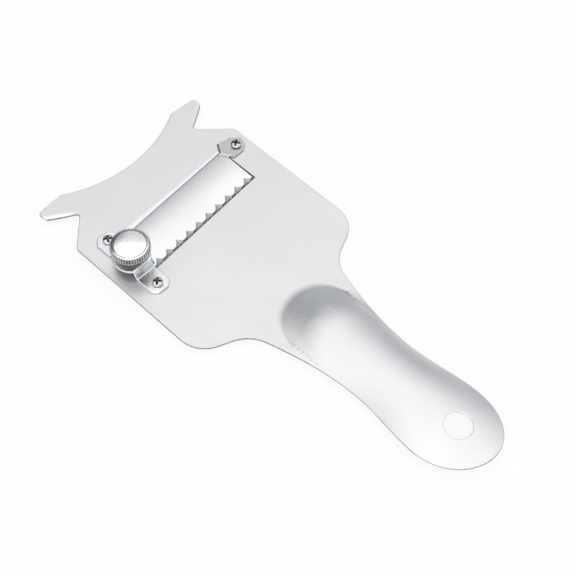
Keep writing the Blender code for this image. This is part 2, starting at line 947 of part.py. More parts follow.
def threaded_rod(centre, radius, bottom, top):
    # A rod whose rows climb one pitch each turn. It runs past bottom and top, to be cut to length.
    mesh_data = bmesh.new()
    ridge = [
        (0, -thread_depth),
        (thread_root_share, -thread_depth),
        (thread_flank_share, 0),
        (thread_crest_share, 0),
    ]
    turns = math.ceil((top - bottom) / thread_pitch) + 3
    columns = []
    for step in range(thread_steps):
        angle = 2 * math.pi * step / thread_steps
        column = []
        for turn in range(turns):
            for share, depth in ridge:
                height = bottom + thread_pitch * (turn - 2 + share + step / thread_steps)
                x = centre.x + (radius + depth) * math.cos(angle)
                y = centre.y + (radius + depth) * math.sin(angle)
                column.append(mesh_data.verts.new((x, y, height)))
        columns.append(column)
    lift = len(ridge)
    rows = len(columns[0])
    for step in range(thread_steps):
        here = columns[step]
        rise = lift if step == thread_steps - 1 else 0
        beside = columns[(step + 1) % thread_steps]
        for row in range(rows - 1 - rise):
            beside_row = row + rise
            face = (here[row], beside[beside_row], beside[beside_row + 1], here[row + 1])
            mesh_data.faces.new(face)
    low = [column[0] for column in columns] + columns[0][lift:0:-1]
    high = [column[-1] for column in columns[:-1]] + columns[-1][: -lift - 2 : -1]
    for loop in (low, high):
        height = sum(vert.co.z for vert in loop) / len(loop)
        middle = mesh_data.verts.new((centre.x, centre.y, height))
        for vert, following in zip(loop, loop[1:] + loop[:1]):
            mesh_data.faces.new((middle, vert, following))
    return mesh_data


def make_stud(material):
    # The threaded rod, its neck through the tongue and the washer, and the end peened over below them.
    centre = bridge_centre()
    bottom = tongue_top + running_gap
    top = knob_bottom + knob_socket_depth - running_gap
    wide = stud_radius + running_gap
    chamfer = thread_depth + running_gap
    blank = [
        (0, bottom),
        (wide - chamfer, bottom),
        (wide, bottom + chamfer),
        (wide, top - chamfer),
        (wide - chamfer, top),
        (0, top),
    ]
    peen_bottom = peen_top - peen_height
    core = [
        (0, peen_bottom),
        (peen_radius - peen_height / 2, peen_bottom),
        (peen_radius, peen_bottom + peen_height / 2),
        (peen_radius, peen_top),
        (neck_pin_radius, peen_top),
        (neck_pin_radius, bottom + stud_radius),
        (0, bottom + stud_radius),
    ]
    stud = add_object("knob_stud", threaded_rod(centre, stud_radius, bottom, top), material)
    combine(stud, add_cutter("stud_blank", turned(blank, small_steps, centre)), "INTERSECT", "ends")
    combine(stud, add_cutter("stud_neck", turned(core, small_steps, centre)), "UNION", "neck")
    return stud


def make_swivel_washer(material):
    bore = neck_pin_radius + running_gap
    profile = [
        (bore, washer_bottom),
        (washer_radius, washer_bottom),
        (washer_radius, washer_top),
        (bore, washer_top),
    ]
    return add_object("swivel_washer", turned(profile, small_steps, bridge_centre()), material)


def make_screw(name, place, seat, material):
    chamfer = screw_tip_reach / 2
    top = seat + screw_head_height
    profile = [
        (0, 0),
        (screw_radius - chamfer, 0),
        (screw_radius, chamfer),
        (screw_radius, seat),
        (screw_head_radius, seat),
    ]
    for across, up in head_dome_shares:
        profile.append((screw_head_radius * across, seat + screw_head_height * up))
    profile.append((0, top))
    screw = add_object(name, turned(profile, small_steps, place), material)
    for turn in (0, 1):
        slot = add_cutter(f"{name}_recess_{turn}", recess_slot(place, top, turn))
        combine(screw, slot, "DIFFERENCE", f"recess {turn}")
    return screw


def recess_slot(place, top, turn):
    # One arm of the cross in a screw's head. Its ends lean in towards its floor.
    slot = bmesh.new()
    bmesh.ops.create_cube(slot, size=1)
    for vert in slot.verts:
        low = vert.co.z < 0
        long_way = vert.co.x * recess_span * (recess_floor_share if low else 1)
        short_way = vert.co.y * recess_width
        x, y = (short_way, long_way) if turn else (long_way, short_way)
        z = top - recess_depth if low else top + overrun
        vert.co = (place.x + x, place.y + y, z)
    return slot


def make_nut(name, place, material):
    # A hexagon trimmed by a double cone, which chamfers the corners and leaves the flats whole.
    corner = nut_across_flats / math.sqrt(3)
    face = nut_across_flats / 2
    low = nut_bottom
    high = nut_bottom + nut_height
    reach = corner + nut_chamfer
    rise = nut_chamfer * (reach - face) / (corner - face)
    form = [(0, low), (face, low), (reach, low + rise), (reach, high - rise), (face, high), (0, high)]
    hexagon = circle(place, corner, 6, math.radians(nut_turn_degrees))
    nut = add_object(name, prism(hexagon, low - overrun, high + overrun), material)
    cone = add_cutter(f"{name}_form", turned(form, small_steps, place))
    combine(nut, cone, "INTERSECT", "chamfer")
    bore = prism(circle(place, screw_radius + running_gap, small_steps), low - overrun, high + overrun)
    combine(nut, add_cutter(f"{name}_bore", bore), "DIFFERENCE", "bore")
    return nut


def build():
    for old in list(bpy.data.objects):
        bpy.data.objects.remove(old, do_unlink=True)
    make_body(metal("plate_steel"))
    make_blade(metal("blade_steel"))
    make_bridge(metal("bridge_steel"))
    make_knob(metal("knob_plating"))
    make_stud(metal("stud_steel"))
    make_swivel_washer(metal("washer_steel"))
    screw_steel = metal("screw_steel")
    nut_steel = metal("nut_steel")
    make_screw("blade_screw", ear_screw_place(), ear_screw_seat, screw_steel)
    make_nut("blade_nut", ear_screw_place(), nut_steel)
    for name, place in bridge_screw_places().items():
        make_screw(f"bridge_screw_{name}", place, foot_top + seat_gap, screw_steel)
        make_nut(f"bridge_nut_{name}", place, nut_steel)


build()
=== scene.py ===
import math

import bmesh
import bpy
import numpy as np
from mathutils import Matrix, Vector
from mathutils.geometry import delaunay_2d_cdt, intersect_line_line_2d


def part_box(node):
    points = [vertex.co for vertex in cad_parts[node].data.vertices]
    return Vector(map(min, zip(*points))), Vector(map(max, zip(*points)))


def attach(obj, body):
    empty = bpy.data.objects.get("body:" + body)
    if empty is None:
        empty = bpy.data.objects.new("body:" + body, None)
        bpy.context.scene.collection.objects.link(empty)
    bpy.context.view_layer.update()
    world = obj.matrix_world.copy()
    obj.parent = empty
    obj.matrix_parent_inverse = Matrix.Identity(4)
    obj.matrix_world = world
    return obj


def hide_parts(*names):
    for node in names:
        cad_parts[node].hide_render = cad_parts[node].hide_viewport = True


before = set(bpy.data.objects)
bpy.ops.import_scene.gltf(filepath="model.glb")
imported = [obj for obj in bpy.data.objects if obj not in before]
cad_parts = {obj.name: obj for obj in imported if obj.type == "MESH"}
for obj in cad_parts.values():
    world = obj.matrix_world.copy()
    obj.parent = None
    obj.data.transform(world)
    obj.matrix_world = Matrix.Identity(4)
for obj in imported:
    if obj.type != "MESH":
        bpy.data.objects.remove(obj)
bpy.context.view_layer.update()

mm = 0.001

camera = {
    "place": (0.19319, -0.19911, 0.42322),
    "target": (-0.00312, 0.001587, 0.0036),
    "lens": 82.37,
    "sensor": 36.0,
    "clip": (0.01, 60),
}


def addObject(name, data):
    made = bpy.data.objects.new(name, data)
    bpy.context.scene.collection.objects.link(made)
    return made


def pointAt(holder, place, target):
    # Puts a camera or a lamp at its place, and turns it towards the target.
    holder.location = place
    holder.rotation_mode = "QUATERNION"
    holder.rotation_quaternion = (Vector(target) - Vector(place)).to_track_quat("-Z", "Y")


def makeCamera(look):
    data = bpy.data.cameras.new("photoCamera")
    data.lens = look["lens"]
    data.sensor_width = look["sensor"]
    data.clip_start, data.clip_end = look["clip"]
    holder = addObject("photoCamera", data)
    pointAt(holder, look["place"], look["target"])
    bpy.context.scene.camera = holder


makeCamera(camera)
print("camera placed")

# Light: a soft room that is bright over the camera's shoulder and falls off towards the far side.
light = {
    "axis": (0.5, -0.5, 0.7),        # where the room is brightest
    "strength": 1.25,
    # how bright the room is from its far side (0) to its bright side (1), as shares of the strength
    "falloff": (
        (0.0, 0.17), (0.14, 0.24), (0.22, 0.32), (0.30, 0.48), (0.38, 0.55), (0.50, 0.66),
        (0.55, 0.75), (0.585, 0.98), (0.64, 1.03), (0.80, 0.96), (1.0, 0.95),
    ),
    # dark cards: where they hang, how wide their soft edge is, and how much they take away
    "flags": (
        {"toward": (-0.85, 0.20, 0.45), "edge": (0.915, 1.035), "dark": 0.82},
        {"toward": (-0.95, -0.25, 0.15), "edge": (0.68, 0.88), "dark": 0.84},
        {"toward": (0.70, 0.70, 0.30), "edge": (0.80, 0.97), "dark": 0.25},
        {"toward": (0.66, -0.66, 0.36), "edge": (0.80, 0.97), "dark": 0.42},
        {"toward": (0.0, 0.0, -1.0), "edge": (-0.50, -0.25), "dark": 0.35},
    ),
    "tint": ((0.992, 0.055), (0.998, 0.03)),  # red and green beside blue, and what each loses where it is dim
    "shadeTint": (0.87, 0.935, 1.0),  # the cards are slightly blue too
    "softbox": {"place": (0.55, -0.75, 1.15), "size": 0.9, "power": 3.0},
}

floorLook = {
    "radius": 9.0,
    "segments": 96,
    "drop": 0.00002,                 # how far the floor lies below the object
    "colour": (0.93, 0.93, 0.93),
    "glow": 0.8,                     # share of the floor's white that needs no light
    "shade": {"x": (-0.078, -0.044), "y": (-0.036, 0.040), "soft": 0.002},  # no glow under the blade
}


# Node helpers

def linkNodes(tree, *pairs):
    for output, target in pairs:
        tree.links.new(output, target)


def newGroup(name, inputs, outputs):
    group = bpy.data.node_groups.new(name, "ShaderNodeTree")
    for label, kind, value in inputs:
        socket = group.interface.new_socket(label, in_out="INPUT", socket_type=kind)
        socket.default_value = value
    for label, kind in outputs:
        group.interface.new_socket(label, in_out="OUTPUT", socket_type=kind)
    start = group.nodes.new("NodeGroupInput")
    end = group.nodes.new("NodeGroupOutput")
    return group, start, end


def addNode(tree, kind, **settings):
    node = tree.nodes.new(kind)
    for label, value in settings.items():
        setattr(node, label, value)
    return node


def fillSocket(tree, socket, value):
    # Links another node's output, or sets a plain value.
    if isinstance(value, bpy.types.NodeSocket):
        tree.links.new(value, socket)
    elif socket.type == "RGBA":
        socket.default_value = (*value, 1)
    else:
        socket.default_value = value


def addMath(tree, operation, *values):
    node = addNode(tree, "ShaderNodeMath", operation=operation)
    for socket, value in zip(node.inputs, values):
        fillSocket(tree, socket, value)
    return node.outputs[0]


def addDot(tree, vector, direction):
    node = addNode(tree, "ShaderNodeVectorMath", operation="DOT_PRODUCT")
    node.inputs[1].default_value = Vector(direction).normalized()
    tree.links.new(vector, node.inputs[0])
    return node.outputs["Value"]


def addNoise(tree, vector, scale, detail, roughness=0.5):
    node = tree.nodes.new("ShaderNodeTexNoise")
    for label, value in (("Vector", vector), ("Scale", scale), ("Detail", detail), ("Roughness", roughness)):
        fillSocket(tree, node.inputs[label], value)
    return node.outputs["Fac"]


def addRange(tree, value, low, high, toLow=0.0, toHigh=1.0):
    node = addNode(tree, "ShaderNodeMapRange", interpolation_type="SMOOTHSTEP")
    labels = ("Value", "From Min", "From Max", "To Min", "To Max")
    for label, number in zip(labels, (value, low, high, toLow, toHigh)):
        fillSocket(tree, node.inputs[label], number)
    return node.outputs["Result"]


def addMapping(tree, vector, turn, scale):
    node = tree.nodes.new("ShaderNodeMapping")
    for label, value in (("Vector", vector), ("Rotation", turn), ("Scale", scale)):
        fillSocket(tree, node.inputs[label], value)
    return node.outputs["Vector"]


def objectPlace(tree):
    return tree.nodes.new("ShaderNodeTexCoord").outputs["Object"]


def addTurned(tree, turn):
    # The object's own coordinates, turned round.
    node = addNode(tree, "ShaderNodeVectorRotate", rotation_type="EULER_XYZ")
    linkNodes(tree, (objectPlace(tree), node.inputs["Vector"]), (turn, node.inputs["Rotation"]))
    return node.outputs["Vector"]


def addAttribute(tree, name):
    return addNode(tree, "ShaderNodeAttribute", attribute_name=name).outputs["Fac"]


def colourSockets(node):
    colours = [socket for socket in node.inputs if socket.type == "RGBA"]
    factor = next(socket for socket in node.inputs if socket.name == "Factor" and socket.type == "VALUE")
    result = next(socket for socket in node.outputs if socket.type == "RGBA")
    return factor, colours[0], colours[1], result


def addColourMix(tree, share, first, second):
    node = addNode(tree, "ShaderNodeMix", data_type="RGBA")
    factor, low, high, result = colourSockets(node)
    for socket, value in ((factor, share), (low, first), (high, second)):
        fillSocket(tree, socket, value)
    return result


def roomColour(level, tint):
    # The dim side of the room is slightly blue.
    dim = max(1 - level, 0)
    red, green = (level * (share - loss * dim) for share, loss in tint)
    return (red, green, level, 1)


def makeWorld(look):
    world = bpy.data.worlds.new("softRoom")
    bpy.context.scene.world = world
    world.use_nodes = True
    tree = world.node_tree
    background = tree.nodes["Background"]
    where = tree.nodes.new("ShaderNodeTexCoord").outputs["Generated"]
    half = addMath(tree, "MULTIPLY_ADD", addDot(tree, where, look["axis"]), 0.5, 0.5)
    ramp = tree.nodes.new("ShaderNodeValToRGB")
    ramp.color_ramp.interpolation = "B_SPLINE"
    steps = ramp.color_ramp.elements
    while len(steps) < len(look["falloff"]):
        steps.new(1.0)
    for step, (position, level) in zip(steps, look["falloff"]):
        step.position = position
        step.color = roomColour(level, look["tint"])
    share = 1.0
    for flag in look["flags"]:
        left = addRange(tree, addDot(tree, where, flag["toward"]), *flag["edge"], 1.0, 1 - flag["dark"])
        share = addMath(tree, "MULTIPLY", left, share)
    tinted = addNode(tree, "ShaderNodeVectorMath", operation="MULTIPLY")
    linkNodes(
        tree,
        (half, ramp.inputs["Fac"]),
        (ramp.outputs["Color"], tinted.inputs[0]),
        (addColourMix(tree, share, look["shadeTint"], (1, 1, 1)), tinted.inputs[1]),
        (tinted.outputs["Vector"], background.inputs["Color"]),
        (addMath(tree, "MULTIPLY", share, look["strength"]), background.inputs["Strength"]),
    )


def makeSoftbox(look):
    data = bpy.data.lights.new("softbox", "AREA")
    data.shape = "DISK"
    data.size = look["size"]
    data.energy = look["power"]
    pointAt(addObject("softbox", data), look["place"], (0, 0, 0))


def underBlade(tree, look):
    # The whole glow inside the shaded patch of the floor, and nothing outside it.
    apart = tree.nodes.new("ShaderNodeSeparateXYZ")
    tree.links.new(objectPlace(tree), apart.inputs[0])
    soft = look["shade"]["soft"]
    mask = None
    for name, (low, high) in (("X", look["shade"]["x"]), ("Y", look["shade"]["y"])):
        after = addRange(tree, apart.outputs[name], low - soft, low)
        before = addRange(tree, apart.outputs[name], high, high + soft, look["glow"], 0.0)
        both = addMath(tree, "MULTIPLY", after, before)
        mask = both if mask is None else addMath(tree, "MINIMUM", mask, both)
    return mask


def makeFloor(look):
    data = bmesh.new()
    bmesh.ops.create_circle(data, cap_ends=True, segments=look["segments"], radius=look["radius"])
    mesh = bpy.data.meshes.new("paleFloor")
    data.to_mesh(mesh)
    data.free()
    floor = addObject("paleFloor", mesh)
    floor.location.z = -look["drop"]
    material = bpy.data.materials.new("paleFloor")
    material.use_nodes = True
    tree = material.node_tree
    tree.nodes.clear()
    matt = tree.nodes.new("ShaderNodeBsdfDiffuse")
    fillSocket(tree, matt.inputs["Color"], look["colour"])
    glow = tree.nodes.new("ShaderNodeEmission")
    fillSocket(tree, glow.inputs["Color"], (1, 1, 1))
    glow.inputs["Strength"].default_value = 1.0
    rays = tree.nodes.new("ShaderNodeLightPath").outputs
    seen = addMath(tree, "MAXIMUM", rays["Is Camera Ray"], rays["Is Glossy Ray"])
    seen = addMath(tree, "MAXIMUM", seen, rays["Is Transmission Ray"])
    share = addMath(tree, "MULTIPLY", seen, addMath(tree, "SUBTRACT", look["glow"], underBlade(tree, look)))
    blend = tree.nodes.new("ShaderNodeMixShader")
    # Seen from below, the floor is clear, so that the underside shows.
    fromBelow = tree.nodes.new("ShaderNodeMixShader")
    out = tree.nodes.new("ShaderNodeOutputMaterial")
    linkNodes(
        tree,
        (share, blend.inputs["Fac"]),
        (matt.outputs[0], blend.inputs[1]),
        (glow.outputs[0], blend.inputs[2]),
        (tree.nodes.new("ShaderNodeNewGeometry").outputs["Backfacing"], fromBelow.inputs["Fac"]),
        (blend.outputs[0], fromBelow.inputs[1]),
        (tree.nodes.new("ShaderNodeBsdfTransparent").outputs[0], fromBelow.inputs[2]),
        (fromBelow.outputs[0], out.inputs["Surface"]),
    )
    mesh.materials.append(material)


makeWorld(light)
makeSoftbox(light["softbox"])
makeFloor(floorLook)
bpy.context.scene.view_settings.view_transform = "Standard"
print("room, softbox and floor ready")


# Finishes. The groups hold what several finishes share: grain, wear, dressing lines, brightened edges (rubbing and
# painted highlight) and darkening (grime and painted shade).

grainLook = {
    # Slant, stretch along the grain, fineness, detail and roughness of the noise, share of the height
    "fine": (0.0, 0.035, 5200.0, 2.0, 0.6, 0.6),
    "long": (0.01, 0.012, 1500.0, 3.0, 0.55, 0.4),
    "streakSpread": (0.35, 0.65),
}
wearLook = {
    "smudgeSpread": (0.35, 0.68),
    "scratches": ((0.62, 900.0), (-0.95, 1150.0), (1.9, 1000.0)),  # direction and fineness of each set
    "scratchStretch": (0.02, 1.0, 0.3),
    "scratchSpread": (0.70, 0.74),
    "patchSize": (150.0, 40.0),      # the second is added times the direction, so that the sets lie apart
    "patchSpread": (0.5, 0.62),
}
dressingLook = {
    "stretch": (0.04, 1.0, 1.0),
    "lineSpread": (0.42, 0.66),
    "patchSize": 190.0,
    "patchSpread": (0.36, 0.6, 0.15, 1.0),
}


def makeGrainGroup():
    # Long fine lines along X, as a belt leaves them. Height is for bump, Streaks for colour and gloss.
    group, start, end = newGroup(
        "beltGrain",
        [("Fineness", "NodeSocketFloat", 1.0), ("Turn", "NodeSocketVector", (0, 0, 0))],
        [("Height", "NodeSocketFloat"), ("Streaks", "NodeSocketFloat")],
    )
    turned = addTurned(group, start.outputs["Turn"])

    def addLines(slant, stretch, scale, detail, roughness, share):
        stretched = addMapping(group, turned, (0, 0, slant), (stretch, 1.0, 1.0))
        scaled = addMath(group, "MULTIPLY", start.outputs["Fineness"], scale)
        lines = addNoise(group, stretched, scaled, detail, roughness)
        return lines, addMath(group, "MULTIPLY", lines, share)

    _, fineHeight = addLines(*grainLook["fine"])
    longLines, longHeight = addLines(*grainLook["long"])
    streaks = addRange(group, longLines, *grainLook["streakSpread"])
    height = addMath(group, "ADD", fineHeight, longHeight)
    linkNodes(group, (height, end.inputs["Height"]), (streaks, end.inputs["Streaks"]))
    return group


def makeWearGroup():
    # Smudges from handling, and hairline scratches that lie at odd angles.
    group, start, end = newGroup(
        "handlingWear",
        [("Smudge Size", "NodeSocketFloat", 60.0), ("Scratch Share", "NodeSocketFloat", 0.3)],
        [("Smudges", "NodeSocketFloat"), ("Scratches", "NodeSocketFloat")],
    )
    where, look = objectPlace(group), wearLook
    smudge = addNoise(group, where, start.outputs["Smudge Size"], 3.0, 0.55)
    group.links.new(addRange(group, smudge, *look["smudgeSpread"]), end.inputs["Smudges"])
    lines, (size, apart) = None, look["patchSize"]
    for turn, scale in look["scratches"]:
        stretched = addMapping(group, where, (0, 0, turn), look["scratchStretch"])
        hair = addRange(group, addNoise(group, stretched, scale, 1.0), *look["scratchSpread"])
        patch = addRange(group, addNoise(group, where, size + apart * turn, 1.0), *look["patchSpread"])
        mark = addMath(group, "MULTIPLY", hair, patch)
        lines = mark if lines is None else addMath(group, "MAXIMUM", lines, mark)
    group.links.new(addMath(group, "MULTIPLY", lines, start.outputs["Scratch Share"]), end.inputs["Scratches"])
    return group


def makeMarkedGroup(name, attribute, label, scale, spread):
    # Mixes in a second colour where the mesh carries the attribute, unevenly, and gives the share as a mask.
    group, start, end = newGroup(
        name,
        [
            ("Colour", "NodeSocketColor", (0.8, 0.8, 0.8, 1)),
            (label, "NodeSocketColor", (0.5, 0.5, 0.5, 1)),
            ("Amount", "NodeSocketFloat", 1.0),
        ],
        [("Colour", "NodeSocketColor"), ("Mask", "NodeSocketFloat")],
    )
    uneven = addRange(group, addNoise(group, objectPlace(group), scale, 2.0), *spread)
    marked = addMath(group, "MULTIPLY", addAttribute(group, attribute), uneven)
    mask = addMath(group, "MULTIPLY", marked, start.outputs["Amount"])
    colour = addColourMix(group, mask, start.outputs["Colour"], start.outputs[label])
    linkNodes(group, (colour, end.inputs["Colour"]), (mask, end.inputs["Mask"]))
    return group


def makeGrindGroup():
    # Coarser lines where the sheet was dressed after forming, as far as the attribute "dressed" says.
    group, start, end = newGroup(
        "dressingLines",
        [("Size", "NodeSocketFloat", 1200.0), ("Turn", "NodeSocketVector", (0, 0, 0))],
        [("Lines", "NodeSocketFloat")],
    )
    look = dressingLook
    stretched = addMapping(group, addTurned(group, start.outputs["Turn"]), (0, 0, 0), look["stretch"])
    lines = addRange(group, addNoise(group, stretched, start.outputs["Size"], 2.0, 0.6), *look["lineSpread"])
    patches = addRange(group, addNoise(group, objectPlace(group), look["patchSize"], 1.0), *look["patchSpread"])
    shown = addMath(group, "MULTIPLY", addMath(group, "MULTIPLY", lines, patches), addAttribute(group, "dressed"))
    group.links.new(shown, end.inputs["Lines"])
    return group


grainGroup = makeGrainGroup()
wearGroup = makeWearGroup()
grindGroup = makeGrindGroup()
# Rounded edges are brighter and smoother than the faces: partly rubbing wear, partly painted highlight along edges and
# bends.
rubAndHighlightGroup = makeMarkedGroup("rubbedAndHighlitEdges", "edge", "Edge Colour", 420.0, (0.25, 0.6))
# Grooves, recesses, sheared walls and places under parts are darkened: partly grime, partly painted shade.
grimeAndShadeGroup = makeMarkedGroup("grimeAndPaintedShade", "recess", "Grime And Shade Colour", 900.0, (0.25, 0.7, 0.7, 1.0))


def placeGroup(tree, group, values):
    node = tree.nodes.new("ShaderNodeGroup")
    node.node_tree = group
    for label, value in values.items():
        fillSocket(tree, node.inputs[label], value)
    return node.outputs


def makeSteel(name, look):
    material = bpy.data.materials.new(name)
    material.use_nodes = True
    tree = material.node_tree
    shader = tree.nodes["Principled BSDF"]
    shader.inputs["Metallic"].default_value = 1.0
    grain = placeGroup(tree, grainGroup, {"Fineness": look["fineness"], "Turn": look["turn"]})
    wear = placeGroup(tree, wearGroup, {"Smudge Size": look["smudgeSize"], "Scratch Share": look["scratches"]})
    streaks = addMath(tree, "MULTIPLY", grain["Streaks"], look["streaks"])
    smudges = addMath(tree, "MULTIPLY", wear["Smudges"], look["smudges"])
    dressing = placeGroup(tree, grindGroup, {"Size": look["dressSize"], "Turn": look["dressTurn"]})
    dressed = addMath(tree, "MULTIPLY", dressing["Lines"], look["dress"])
    colour = look["colour"]
    for share, label in ((streaks, "streakColour"), (smudges, "smudgeColour"), (dressed, "dressColour")):
        colour = addColourMix(tree, share, colour, look[label])
    brightening = placeGroup(
        tree, rubAndHighlightGroup, {"Colour": colour, "Edge Colour": look["edgeColour"], "Amount": look["edgeRub"]}
    )
    darkening = placeGroup(
        tree, grimeAndShadeGroup, {"Colour": brightening["Colour"], "Grime And Shade Colour": look["grimeColour"], "Amount": look["grime"]}
    )
    tree.links.new(darkening["Colour"], shader.inputs["Base Color"])
    rough = look["roughness"]
    for mask, label in (
        (wear["Smudges"], "smudgeGloss"), (darkening["Mask"], "grimeAndShadeGloss"), (grain["Streaks"], "streakGloss"),
        (wear["Scratches"], "scratchGloss"), (brightening["Mask"], "edgeGloss"),
    ):
        rough = addMath(tree, "MULTIPLY_ADD", mask, look[label], rough)
    tree.links.new(rough, shader.inputs["Roughness"])
    height = addMath(tree, "MULTIPLY", grain["Height"], look["grainDepth"])
    height = addMath(tree, "MULTIPLY_ADD", wear["Scratches"], -look["scratchDepth"], height)
    height = addMath(tree, "MULTIPLY_ADD", dressed, -look["dressDepth"], height)
    if look["peel"]:
        peel = addNoise(tree, objectPlace(tree), look["peelSize"], 2.0)
        height = addMath(tree, "MULTIPLY_ADD", peel, look["peel"], height)
    bump = tree.nodes.new("ShaderNodeBump")
    bump.inputs["Distance"].default_value = look["bumpDistance"]
    bump.inputs["Strength"].default_value = look["bump"]
    tree.links.new(height, bump.inputs["Height"])
    tree.links.new(bump.outputs["Normal"], shader.inputs["Normal"])
    return material


plainSteel = {
    "colour": (0.80, 0.805, 0.815), "streakColour": (0.765, 0.77, 0.782), "smudgeColour": (0.785, 0.79, 0.80),
    "edgeColour": (0.90, 0.90, 0.91), "roughness": 0.30, "fineness": 1.0, "streaks": 0.5, "smudges": 0.4,
    "smudgeSize": 45.0, "scratches": 0.25, "edgeRub": 0.5, "smudgeGloss": 0.05, "streakGloss": 0.04,
    "grainDepth": 0.7, "scratchDepth": 0.4, "bump": 0.35, "grime": 1.0, "grimeColour": (0.30, 0.30, 0.31),
    "peel": 0.0, "peelSize": 600.0, "dress": 0.0, "dressSize": 1200.0, "dressTurn": (0, 0, -0.15),
    "dressColour": (0.6, 0.605, 0.615), "turn": (0, 0, 0), "grimeAndShadeGloss": 0.25, "scratchGloss": 0.15, "edgeGloss": -0.1,
    "dressDepth": 1.0, "bumpDistance": 0.00002,
}


def steelLook(**changes):
    return {**plainSteel, **changes}


# Mesh helpers

def smoothShare(value):
    value = min(max(value, 0.0), 1.0)
    return value * value * (3 - 2 * value)


def mix(low, high, share):
    return low + (high - low) * share


def arcChain(corners, degrees=7.5):
    # Rounds each (x, y, radius) corner of a chain. The two ends stay as they are.
    points = [tuple(corners[0][:2])]
    for before, corner, after in zip(corners, corners[1:], corners[2:]):
        tip = Vector(corner[:2])
        back = (Vector(before[:2]) - tip).normalized()
        ahead = (Vector(after[:2]) - tip).normalized()
        half = back.angle(ahead) / 2
        if corner[2] == 0:
            points.append(tuple(tip))
            continue
        middle = tip + (back + ahead).normalized() * (corner[2] / math.sin(half))
        start = tip + back * (corner[2] / math.tan(half)) - middle
        turn = start.angle_signed(tip + ahead * (corner[2] / math.tan(half)) - middle)
        steps = max(3, round(abs(math.degrees(turn)) / degrees))
        for step in range(steps + 1):
            points.append(tuple(middle + start @ Matrix.Rotation(turn * step / steps, 2)))
    points.append(tuple(corners[-1][:2]))
    return points


def arcLoop(corners, degrees=7.5):
    return arcChain(corners[-1:] + corners + corners[:1], degrees)[1:-1]


def circleLoop(centre, radius, steps):
    turns = [2 * math.pi * step / steps for step in range(steps)]
    return [(centre[0] + radius * math.cos(turn), centre[1] + radius * math.sin(turn)) for turn in turns]


def holeLoop(centre, radius, steps):
    return [Vector(point) for point in circleLoop(centre, radius * mm, steps)]


def divided(loop, longest):
    # Adds points so that no side is longer than this.
    points = []
    for here, after in zip(loop, loop[1:] + loop[:1]):
        here, after = Vector(here), Vector(after)
        pieces = max(1, math.ceil((after - here).length / longest))
        points += [here.lerp(after, i / pieces) for i in range(pieces)]
    return points


def facingLeft(loop, counterClockwise):
    area = sum(a[0] * b[1] - b[0] * a[1] for a, b in zip(loop, loop[1:] + loop[:1]))
    return loop if (area > 0) == counterClockwise else loop[::-1]


def inwardSteps(loop):
    # For each point, the way into the sheet, long enough to keep an even margin round corners.
    steps = []
    count = len(loop)
    for i, here in enumerate(loop):
        back = (here - loop[i - 1]).normalized()
        ahead = (loop[(i + 1) % count] - here).normalized()
        first, second = Vector((-back.y, back.x)), Vector((-ahead.y, ahead.x))
        middle = (first + second).normalized()
        steps.append(middle / max(middle.dot(second), 0.5))
    return steps


def insideLoop(points, loop):
    hit = np.zeros(len(points), bool)
    x, y = points[:, 0], points[:, 1]
    for here, after in zip(loop, loop[1:] + loop[:1]):
        rise = after[1] - here[1]
        if rise == 0:
            continue
        across = (here[1] > y) != (after[1] > y)
        hit ^= across & (x < here[0] + (y - here[1]) * (after[0] - here[0]) / rise)
    return hit


def surfaceNormal(faceAt, x, y, probe):
    ahead = faceAt(x + probe, y) - faceAt(x - probe, y)
    across = faceAt(x, y + probe) - faceAt(x, y - probe)
    return ahead.cross(across).normalized()


def regionsOf(faces, wallEdges):
    # Faces that meet across any edge but a wall's are one region. Gives each face the number of its region.
    owner, region = {}, list(range(len(faces)))

    def first(number):
        while region[number] != number:
            number = region[number]
        return number

    for number, face in enumerate(faces):
        for pair in zip(face, list(face[1:]) + [face[0]]):
            edge = frozenset(pair)
            if edge in wallEdges:
                continue
            if edge in owner:
                region[first(number)] = first(owner[edge])
            else:
                owner[edge] = number
    return [first(number) for number in range(len(faces))]


def easeRadii(loop, steps, radii):
    # Makes the rounding smaller beside a tight corner, so that its inner line doesn't cross itself there.
    tries, leastShare, shrink, slope = 80, 0.05, 0.9, 0.5
    count = len(loop)
    lengths = [(loop[(i + 1) % count] - loop[i]).length for i in range(count)]
    for _ in range(tries):
        inner = [here + step * radius for here, step, radius in zip(loop, steps, radii)]
        crossed = set()
        for i in range(count):
            after = (i + 1) % count
            edge = loop[after] - loop[i]
            if edge.dot(inner[after] - inner[i]) < leastShare * edge.dot(edge):
                crossed |= {i, after}
        if not crossed:
            break
        for i in crossed:
            radii[i] *= shrink
        for i in list(range(count)) * 2:
            radii[i] = min(radii[i], radii[i - 1] + slope * lengths[i - 1])
        for i in list(range(count - 1, -1, -1)) * 2:
            radii[i] = min(radii[i], radii[(i + 1) % count] + slope * lengths[i])
    return radii


def flatArea(corners):
    ends = corners[1:] + corners[:1]
    return abs(sum(a.x * b.y - b.x * a.y for a, b in zip(corners, ends))) / 2


def bandBetween(low, high):
    # The faces between two rings of points.
    count = len(low)
    return [[low[i], low[(i + 1) % count], high[(i + 1) % count], high[i]] for i in range(count)]


